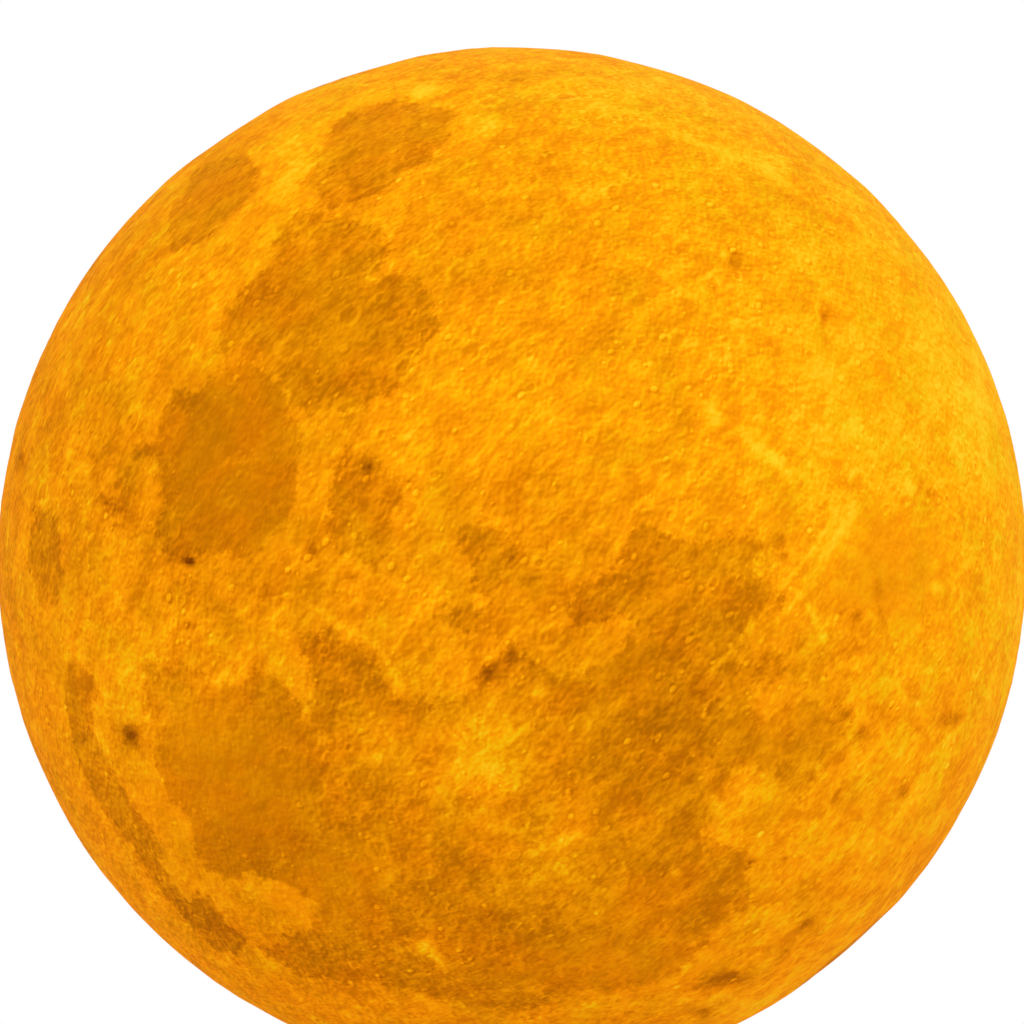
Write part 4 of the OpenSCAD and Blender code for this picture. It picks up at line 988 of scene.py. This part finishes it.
def coordinates(tree, middle=(0, 0, 0)):
    """Where a point lies from a middle, along X, Y and Z, as three amounts in metres."""
    spot = add(tree, "ShaderNodeTexCoord").outputs["Object"]
    off = add(tree, "ShaderNodeVectorMath", {"operation": "SUBTRACT"}, {0: spot, 1: middle})
    return [Amount(part) for part in add(tree, "ShaderNodeSeparateXYZ", inputs={0: off}).outputs]


def dress(material, *names):
    """Gives CAD nodes a material in place of their own."""
    for name in names:
        nodes[name].data.materials.clear()
        nodes[name].data.materials.append(material)


# %% Mouldings
soft_light = {"Subsurface_Weight": 0.15, "Subsurface_Radius": (0.002, 0.0018, 0.001)}
# ABS, injection moulded in a spark-eroded mould: matt white, with a fine even grain
white_abs = textured("moulded_white_abs", "#E8E5DC", 0.48, 14, 0.03, 0.35, 0.02)
dress(white_abs, "base_housing", "neck_ring", "bottom_cover", "battery_strap", "mode_button")
# ABS again, dyed black: the finger pad of the power switch, polished by use
dress(textured("moulded_black_abs", "#222326", 0.42, 3, 0.12, 0.3, 0.02), "switch_knob")
# Glass-filled nylon: dull black with pale flecks of glass
dress(textured("glass_filled_nylon", "#2B2C2F", 0.6, 1.2, 0.22, 0.3, 0.02), "switch_body", "tact_switch")
# Natural nylon: milky, slightly yellow and waxy
nylon = textured("natural_nylon", "#E9E1C9", 0.4, 4, 0.04, 0.4, 0.01, **soft_light)
dress(nylon, "battery_plug", "led_plug", "tact_plunger")
# Silicone rubber, dyed grey: dead matt, with dust in its pores
dress(textured("grey_silicone", "#3A3B3E", 0.78, 8, 0.08, 0.5, 0.03), "foot_ring")
# Silicone rubber, undyed: milky and soft
dress(textured("milky_silicone", "#D6D3C8", 0.62, 8, 0.04, 0.5, 0.02, **soft_light), "neck_seal")
# Closed-cell foam tape: charcoal, and its cut cells catch the light
dress(textured("closed_cell_foam", "#35363A", 0.92, 1.0, 0.3, 0.5, 0.12), "battery_pad")
# Epoxy moulding compound: black, dull and slightly sparkling with silica
dress(textured("moulded_black_epoxy", "#232427", 0.55, 0.9, 0.2, 0.3, 0.015), "control_chips")
# Fired barium titanate: a smooth tan ceramic
dress(textured("fired_tan_ceramic", "#A88D66", 0.45, 0.8, 0.1, 0.3, 0.01), "capacitors")
# Sintered ferrite: near black, with a faint metallic grain
dress(textured("sintered_ferrite", "#2E2F33", 0.5, 0.8, 0.25, 0.3, 0.02), "inductor")
print(f"{len(bpy.data.materials)} materials so far")

# %% Metals
# Chromium over nickel on a brass ring: a mirror, a little hazed where fingers touch it
dress(textured("bright_chrome_plate", "#CDD0D4", 0.12, 9, 0.02, 6.0, 0.02, Metallic=1.0), "touch_ring")
# Half-hard brass strip: rolled, so its grain is drawn out one way
brass = textured("rolled_brass_strip", "#C9A24B", 0.3, 2, 0.08, 0.4, 0.01, (1, 6, 1), Metallic=1.0)
dress(brass, "touch_spring")
# Zinc plate on steel: bluish grey, softly mottled
zinc = textured("zinc_plated_steel", "#A9ADB3", 0.34, 0.8, 0.14, 0.3, 0.01, Metallic=1.0)
# Gold flash on copper contacts: warm and bright
gold = textured("gold_flashed_copper", "#D9B45A", 0.28, 0.6, 0.08, 0.3, 0.005, Metallic=1.0)
# Tinned copper legs and end caps: silvery, dulled by solder
tin = textured("tinned_copper", "#C3C5C6", 0.38, 0.7, 0.1, 0.3, 0.01, Metallic=1.0)
print(f"{len(bpy.data.materials)} materials with the metals")

# %% [markdown]
# ## Finishes of two materials in one piece
#
# Some solids of the frame stand for two things that lie flat on each other, or in each other, and are
# parted only by place: the cell's foil and the amber tape round its end, the red and the black wire of a
# pair, and the charging socket's steel shell and its black tongue. A comparison on the coordinates chooses
# between them.

# %% Foil and tape, wires, and the socket
tape_width = 5.0 * MM
# Aluminium laminate, pressed round the cell: a dull mirror with wrinkles. Polyimide tape: clear amber
foil = textured("laminated_pouch_foil", "#B9C0C8", 0.3, 5, 0.06, 1.6, 0.18, (1, 0.5, 1), Metallic=0.9)
x = coordinates(foil.node_tree)[0]
two_tone(foil, x.by("GREATER_THAN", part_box("battery")[1].x - tape_width), "#C98A1E", 0.9)
dress(foil, "battery")

# Silicone insulation: supple and smooth, slightly dusty
for node, axis in (("battery_leads", 1), ("led_leads", 0)):
    wires = textured("silicone_insulation_" + node, "#B3271F", 0.5, 3, 0.06, 0.3, 0.01)
    low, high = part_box(node)
    across = coordinates(wires.node_tree, (low + high) / 2)[axis]
    two_tone(wires, across.by("GREATER_THAN", 0.0), "#1F2023", 0)
    dress(wires, node)

# Stainless steel strip, folded: brushed along its length
socket_low, socket_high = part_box("usb_socket")
socket_middle = (socket_low + socket_high) / 2
tongue_width, tongue_thickness, tongue_spare = 6.7 * MM, 0.7 * MM, 0.05 * MM
steel = textured("brushed_stainless_steel", "#B9BBBE", 0.3, 2, 0.06, 0.3, 0.01, (1, 0.2, 1), Metallic=1.0)
x, _, z = coordinates(steel.node_tree, socket_middle)
in_width = x.by("ABSOLUTE").by("LESS_THAN", tongue_width / 2 + tongue_spare)
in_thickness = z.by("ABSOLUTE").by("LESS_THAN", tongue_thickness / 2 + tongue_spare)
two_tone(steel, in_width * in_thickness, "#1E1F22", 1.0)
dress(steel, "usb_socket")
print("two-tone finishes: foil, 2 pairs of wires, socket")

# %% [markdown]
# ## Clear and frosted plastics
#
# The pin beside the socket is clear acrylic, and carries the charging light outward. The dome over the LEDs
# is blown opal acrylic, blasted on the outside. Lit from inside, it is brightest near its foot, over the
# ring of LEDs, so its glow falls off with height. The LEDs themselves are ceramic trays filled with yellow
# phosphor.

# %% Light pipe, dome and LEDs
# Cast acrylic, polished: clear, with a faint haze
clear, tree, shader = finish("polished_clear_acrylic", "#F4F8FA", 0.05, Transmission_Weight=1.0, IOR=1.49)
spot = add(tree, "ShaderNodeTexCoord").outputs["Object"]
haze = add(tree, "ShaderNodeTexNoise", inputs={"Vector": spot, "Scale": 1 / (1.5 * MM), "Detail": 3.0})
link(shader, {"Roughness": Amount(haze) * 0.1 + 0.02})
dress(clear, "light_pipe")

# Opal acrylic, blasted: milky, matt, glowing warmly
glow_fall = 0.55                   # of the glow, from the dome's foot to its top
opal, tree, shader = finish("blasted_opal_acrylic", "#F7F2E6", 0.55, Transmission_Weight=0.35,
                            Emission_Strength=0.8)
dome_low, dome_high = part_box("diffuser_dome")
z = coordinates(tree, (0, 0, dome_low.z))[2]
spot = add(tree, "ShaderNodeTexCoord").outputs["Object"]
blast = add(tree, "ShaderNodeTexNoise", inputs={"Vector": spot, "Scale": 1 / (0.5 * MM), "Detail": 3.0})
glow = (z * (-glow_fall / (dome_high.z - dome_low.z)) + 1.0) * (Amount(blast) * 0.2 + 0.9)
warm = add(tree, "ShaderNodeMix", {"data_type": "RGBA"},
           {"Factor": glow, "A": linear("#B98A45"), "B": linear("#FFE3A6")})
bump = add(tree, "ShaderNodeBump", inputs={"Strength": 0.4, "Distance": 0.02 * MM, "Height": blast})
link(shader, {"Emission Color": warm, "Normal": bump})
dress(opal, "diffuser_dome")

# Alumina tray: white, dense ceramic
white_tray = textured("white_alumina_ceramic", "#EFEDE6", 0.5, 1.5, 0.04, 0.3, 0.01)
# Phosphor powder in clear silicone: yellow grains under a soft gloss
phosphor, tree, shader = finish("phosphor_in_silicone", "#F3CE4E", 0.35, Emission_Strength=1.0,
                                Coat_Weight=0.4)
spot = add(tree, "ShaderNodeTexCoord").outputs["Object"]
grains = add(tree, "ShaderNodeTexNoise", inputs={"Vector": spot, "Scale": 1 / (0.35 * MM), "Detail": 3.0})
fill = add(tree, "ShaderNodeMix", {"data_type": "RGBA"},
           {"Factor": grains, "A": linear("#E9B52C"), "B": linear("#FFE68A")})
link(shader, {"Base Color": fill, "Emission Color": fill})
dress(phosphor, "status_led")
print(f"{len(bpy.data.materials)} materials with the clear and frosted ones")

# %% [markdown]
# ## Circuit boards
#
# A board is glass cloth in epoxy under a coloured solder mask. The copper tracks lie under the mask and
# show as paler lines with square turns. Bricks with thin joints give such lines. The green board has them
# close together, and the white LED board has broad copper fields and thin gaps. Small bare dots, the vias,
# join the two faces, and lie at the scattered points of a Voronoi noise.

# %% Solder mask over copper
via_pitch_mm, via_share = 2.4, 0.1


def board_finish(name, mask, copper, via, track_mm, joint):
    """A board's mask, with tracks drawn as the joints of two layers of bricks, and with vias."""
    material, tree, shader = finish(name, mask, 0.3, Coat_Weight=0.3, Coat_Roughness=0.2)
    spot = add(tree, "ShaderNodeTexCoord").outputs["Object"]
    tracks = 0.0
    for turn in (0, 90):
        laid = add(tree, "ShaderNodeMapping", inputs={"Vector": spot, "Rotation": (0, 0, math.radians(turn))})
        bricks = add(tree, "ShaderNodeTexBrick", {"offset": 0.37, "squash": 1.6, "squash_frequency": 3}, {
            "Vector": laid, "Scale": 1 / (track_mm * MM), "Mortar Size": joint, "Mortar Smooth": 0.2,
            "Brick Width": 2.7, "Row Height": 0.8})
        tracks = Amount(bricks.outputs["Fac"]).by("MAXIMUM", tracks)
    cloth = add(tree, "ShaderNodeTexNoise", inputs={"Vector": spot, "Scale": 1 / (0.6 * MM)})
    vias = add(tree, "ShaderNodeTexVoronoi", inputs={"Vector": spot, "Scale": 1 / (via_pitch_mm * MM)})
    vias = Amount(vias.outputs["Distance"]).by("LESS_THAN", via_share)
    inked = linear(mask)
    for where, ink in ((tracks, copper), (vias, via)):
        inked = add(tree, "ShaderNodeMix", {"data_type": "RGBA"},
                    {"Factor": where, "A": inked, "B": linear(ink)})
    bump = add(tree, "ShaderNodeBump", inputs={"Strength": 0.5, "Distance": 0.03 * MM,
                                               "Height": tracks * 0.75 + Amount(cloth) * 0.25})
    link(shader, {"Base Color": inked, "Roughness": Amount(cloth) * 0.1 + 0.25, "Normal": bump})
    return material


# Green mask: glossy, with pale green tracks
dress(board_finish("green_solder_mask", "#14603C", "#2A7B50", "#B9B07A", 2.2, 0.05), "control_board")
# White mask: glossy, with faint grey gaps between copper fields
dress(board_finish("white_solder_mask", "#E9E8E2", "#DCDAD0", "#C9C7BE", 4.5, 0.02), "led_board")
print(f"{len(bpy.data.materials)} materials with the boards")

# %% [markdown]
# ## Screws by Geometry Nodes
#
# Ten small cross-head screws hold the lamp together, in four groups. One tree makes a screw, with a domed
# head, a cross recess and a rolled thread, and puts a copy at each point it is given. The head is a
# cylinder of several rings that draw in towards its end, and two bars are cut from it. The sizes are named
# inputs.

# %% A tree that sets screws
def screw_tree():
    """Screws at points. The head hangs down from the point and the shank stands up, unless flipped."""
    sizes = ["Head radius", "Head height", "Shank radius", "Shank length", "Thread pitch", "Flip"]
    tree, given = new_tree("set_screws", {**dict.fromkeys(sizes, "Float"), "Material": "Material"})
    head_r, head_h, shank_r, shank_l, pitch, flip = (given[size] for size in sizes)
    head = add(tree, "GeometryNodeMeshCylinder", inputs={"Vertices": 28, "Side Segments": 4, "Radius": head_r,
                                                         "Depth": head_h})
    at = add(tree, "ShaderNodeSeparateXYZ", inputs={0: add(tree, "GeometryNodeInputPosition")})
    x, y, z = (Amount(part) for part in at.outputs)
    drawn_in = ((z / head_h - 0.5) * -1.0).by("POWER", 4.0) * -0.4 + 1.0
    head = add(tree, "GeometryNodeSetPosition", inputs={"Geometry": head, "Position": (
        x * drawn_in, y * drawn_in, z - head_h * 0.5)})
    bars = []
    for turn in (0, math.pi / 2):
        bar = add(tree, "GeometryNodeMeshCube", inputs={"Size": (head_r * 1.15, head_r * 0.26, head_h * 1.1)})
        bars.append(add(tree, "GeometryNodeTransform", inputs={
            "Geometry": bar, "Translation": (0.0, 0.0, head_h * -1.08), "Rotation": (0, 0, turn)}))
    head = add(tree, "GeometryNodeMeshBoolean", {"operation": "DIFFERENCE", "solver": "EXACT"},
               {"Mesh 1": head, "Mesh 2": bars})
    core_r = shank_r * 0.86
    shank = add(tree, "GeometryNodeMeshCylinder", inputs={"Vertices": 14, "Radius": core_r, "Depth": shank_l})
    shank = add(tree, "GeometryNodeTransform",
                inputs={"Geometry": shank, "Translation": (0.0, 0.0, shank_l * 0.5)})
    thread_l = shank_l * 0.92
    spiral = add(tree, "GeometryNodeCurveSpiral", inputs={
        "Resolution": 14, "Rotations": thread_l / pitch, "Height": thread_l, "Start Radius": core_r,
        "End Radius": core_r})
    ridge = add(tree, "GeometryNodeCurvePrimitiveCircle", inputs={"Resolution": 3, "Radius": shank_r * 0.14})
    thread = add(tree, "GeometryNodeCurveToMesh",
                 inputs={"Curve": spiral, "Profile Curve": ridge, "Fill Caps": True})
    screw = add(tree, "GeometryNodeJoinGeometry", inputs={0: [head, shank, thread]})
    placed = add(tree, "GeometryNodeInstanceOnPoints", inputs={"Points": given["Geometry"], "Instance": screw,
                                                               "Rotation": (flip, 0.0, 0.0)})
    return close_tree(tree, placed, given["Material"])


def grown(name, places, tree, values, replaced):
    """Runs a tree on points and keeps what it makes as a piece of the base."""
    mesh = bpy.data.meshes.new(name + "_points")
    mesh.from_pydata(places, [], [])
    seedling = put(name + "_points", mesh)
    grow(seedling, tree, values)
    made = baked(seedling)
    bm = bmesh.new()
    bm.from_mesh(made)
    print(f"{name}: {len(places)} points, {len(bm.faces)} faces, {open_edges(bm)} open edges")
    bm.free()
    return piece(name, made, "base", replaced, smooth_below=35)


# %% Four groups of screws
screws = screw_tree()
# Each group's node, how many it has, the turn of its first in degrees, and whether its heads are on top
screw_groups = [("cover_screws", 3, 30, 0.0), ("board_screws", 3, 0, 0.0), ("strap_screws", 2, 90, 0.0),
                ("led_screws", 2, 90, math.pi)]
screw = {"Head radius": 1.8 * MM, "Head height": 0.9 * MM, "Shank radius": 0.8 * MM, "Shank length": 5.0 * MM,
         "Thread pitch": 0.6 * MM, "Material": zinc}
for node, count, first_turn, flip in screw_groups:
    low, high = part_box(node)
    reach = max(v.co.xy.length for v in nodes[node].data.vertices) - screw["Head radius"]
    z = high.z - screw["Head height"] if flip else low.z + screw["Head height"]
    turns = [math.radians(first_turn + 360 * i / count) for i in range(count)]
    places = [(reach * math.cos(turn), reach * math.sin(turn), z) for turn in turns]
    grown("cross_head_" + node, places, screws, {**screw, "Flip": flip}, [node])

# %% [markdown]
# ## LEDs by Geometry Nodes
#
# Each LED is a ceramic tray with a round well, filled with phosphor. Eight stand in a ring and one in the
# middle, all alike, so again a tree makes one and copies it. The lens takes its material first, and an
# attribute marks it, so that the tree's last Set Material can pass it over.

# %% A tree that sets LEDs
def led_tree():
    tree, given = new_tree("set_leds", {"Side": "Float", "Height": "Float", "Well depth": "Float",
                                        "Material": "Material", "Lens": "Material"})
    side, tall, well = given["Side"], given["Height"], given["Well depth"]
    block = add(tree, "GeometryNodeMeshCube", inputs={"Size": (side, side, tall)})
    block = add(tree, "GeometryNodeTransform",
                inputs={"Geometry": block, "Translation": (0.0, 0.0, tall * 0.5)})
    drill = add(tree, "GeometryNodeMeshCylinder",
                inputs={"Vertices": 32, "Radius": side * 0.4, "Depth": well * 2.0})
    drill = add(tree, "GeometryNodeTransform", inputs={"Geometry": drill, "Translation": (0.0, 0.0, tall)})
    tray = add(tree, "GeometryNodeMeshBoolean", {"operation": "DIFFERENCE", "solver": "EXACT"},
               {"Mesh 1": block, "Mesh 2": drill})
    lens = add(tree, "GeometryNodeMeshUVSphere", inputs={"Segments": 24, "Rings": 10, "Radius": side * 0.39})
    lens = add(tree, "GeometryNodeTransform", inputs={"Geometry": lens, "Scale": (1.0, 1.0, 0.13),
                                                      "Translation": (0.0, 0.0, tall - well)})
    lens = add(tree, "GeometryNodeSetMaterial", inputs={"Geometry": lens, "Material": given["Lens"]})
    lens = add(tree, "GeometryNodeStoreNamedAttribute", {"data_type": "BOOLEAN", "domain": "FACE"},
               {"Geometry": lens, "Name": "is_lens", "Value": True})
    led = add(tree, "GeometryNodeJoinGeometry", inputs={0: [tray, lens]})
    at = add(tree, "ShaderNodeSeparateXYZ", inputs={0: add(tree, "GeometryNodeInputPosition")})
    heading = Amount(at.outputs["Y"]).by("ARCTAN2", at.outputs["X"])
    placed = add(tree, "GeometryNodeInstanceOnPoints", inputs={"Points": given["Geometry"], "Instance": led,
                                                               "Rotation": (0.0, 0.0, heading)})
    is_lens = add(tree, "GeometryNodeInputNamedAttribute", {"data_type": "BOOLEAN"}, {"Name": "is_lens"})
    not_lens = add(tree, "FunctionNodeBooleanMath", {"operation": "NOT"}, {0: is_lens})
    return close_tree(tree, placed, given["Material"], not_lens)


led_count, led_side = 8, 5.0 * MM
led_low, led_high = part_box("leds")
outer_corner = max(v.co.xy.length for v in nodes["leds"].data.vertices)
ring_r = math.sqrt(outer_corner ** 2 - (led_side / 2) ** 2) - led_side / 2
turns = [2 * math.pi * (i + 0.5) / led_count for i in range(led_count)]
ring = [(ring_r * math.cos(turn), ring_r * math.sin(turn), led_low.z) for turn in turns]
led = {"Side": led_side, "Height": led_high.z - led_low.z, "Well depth": 0.3 * MM, "Material": white_tray,
       "Lens": phosphor}
grown("led_packages", [(0, 0, led_low.z), *ring], led_tree(), led, ["leds"])

# %% [markdown]
# ## What stands on the control board
#
# Chips have gull-wing legs along two sides, and ceramic capacitors have a tinned cap at each end. The
# charging socket's tongue has a row of gold contacts on each face. All of them are small blocks that
# repeat, so one more tree serves all three: it puts a block with eased corners at each point.

# %% A tree that sets blocks
def block_tree():
    tree, given = new_tree("set_blocks", {"Size": "Vector", "Easing": "Float", "Material": "Material"})
    block = add(tree, "GeometryNodeMeshCube", inputs={"Size": given["Size"], "Vertices X": 3, "Vertices Y": 3,
                                                      "Vertices Z": 3})
    place = add(tree, "GeometryNodeInputPosition")
    inward = add(tree, "ShaderNodeVectorMath", {"operation": "SCALE"},
                 {0: place, "Scale": given["Easing"] * -1.0})
    share = add(tree, "ShaderNodeVectorMath", {"operation": "DIVIDE"}, {0: place, 1: given["Size"]})
    share = add(tree, "ShaderNodeVectorMath", {"operation": "LENGTH"}, {0: share})
    at_corner = Amount(share).by("GREATER_THAN", 0.8)
    eased = add(tree, "GeometryNodeSetPosition",
                inputs={"Geometry": block, "Selection": at_corner, "Offset": inward})
    placed = add(tree, "GeometryNodeInstanceOnPoints",
                 inputs={"Points": given["Geometry"], "Instance": eased})
    return close_tree(tree, placed, given["Material"])


def separate_boxes(node):
    """The lowest and highest corners of each separate solid in a node."""
    bm = bmesh.new()
    bm.from_mesh(nodes[node].data)
    bmesh.ops.remove_doubles(bm, verts=bm.verts, dist=0.001 * MM)
    left = set(bm.verts)
    boxes = []
    while left:
        group = [left.pop()]
        for vertex in group:
            near = {edge.other_vert(vertex) for edge in vertex.link_edges} & left
            left -= near
            group += near
        boxes.append([Vector([corner(v.co[i] for v in group) for i in range(3)]) for corner in (min, max)])
    bm.free()
    return sorted(boxes, key=lambda box: tuple(box[0]))


# %% Legs, end caps and contacts
blocks = block_tree()
leg_pitch, leg_size = 1.0 * MM, Vector((0.42, 0.7, 0.3)) * MM
legs = []
for low, high in separate_boxes("control_chips"):
    count = max(int((high.x - low.x) / leg_pitch), 2)
    start = (low.x + high.x - (count - 1) * leg_pitch) / 2
    for y in (low.y - leg_size.y / 2, high.y + leg_size.y / 2):
        legs += [(start + i * leg_pitch, y, low.z + leg_size.z / 2) for i in range(count)]
leg = {"Size": leg_size, "Easing": 0.12, "Material": tin}
grown("chip_legs", legs, blocks, leg, [])

cap_share, cap_spare = 0.25, 0.03 * MM
caps = []
for low, high in separate_boxes("capacitors"):
    middle, size = (low + high) / 2, high - low
    cap_size = Vector((size.x * cap_share, size.y + cap_spare, size.z + cap_spare))
    reach = (size.x - cap_size.x) / 2
    caps += [(middle.x + side * reach, middle.y, middle.z + cap_spare / 2) for side in (-1, 1)]
cap = {"Size": cap_size, "Easing": 0.05, "Material": tin}
grown("capacitor_end_caps", caps, blocks, cap, [])

contact_pitch, contact_count, contact_setback = 0.5 * MM, 12, 1.5 * MM
contact_size = Vector((0.26, 3.6, 0.06)) * MM
contact_y = socket_high.y - contact_setback - contact_size.y / 2
off_middle = (tongue_thickness + contact_size.z) / 2
contacts = [((i - (contact_count - 1) / 2) * contact_pitch, contact_y, socket_middle.z + side * off_middle)
            for i in range(contact_count) for side in (-1, 1)]
contact = {"Size": contact_size, "Easing": 0.0, "Material": gold}
grown("socket_contacts", contacts, blocks, contact, [])
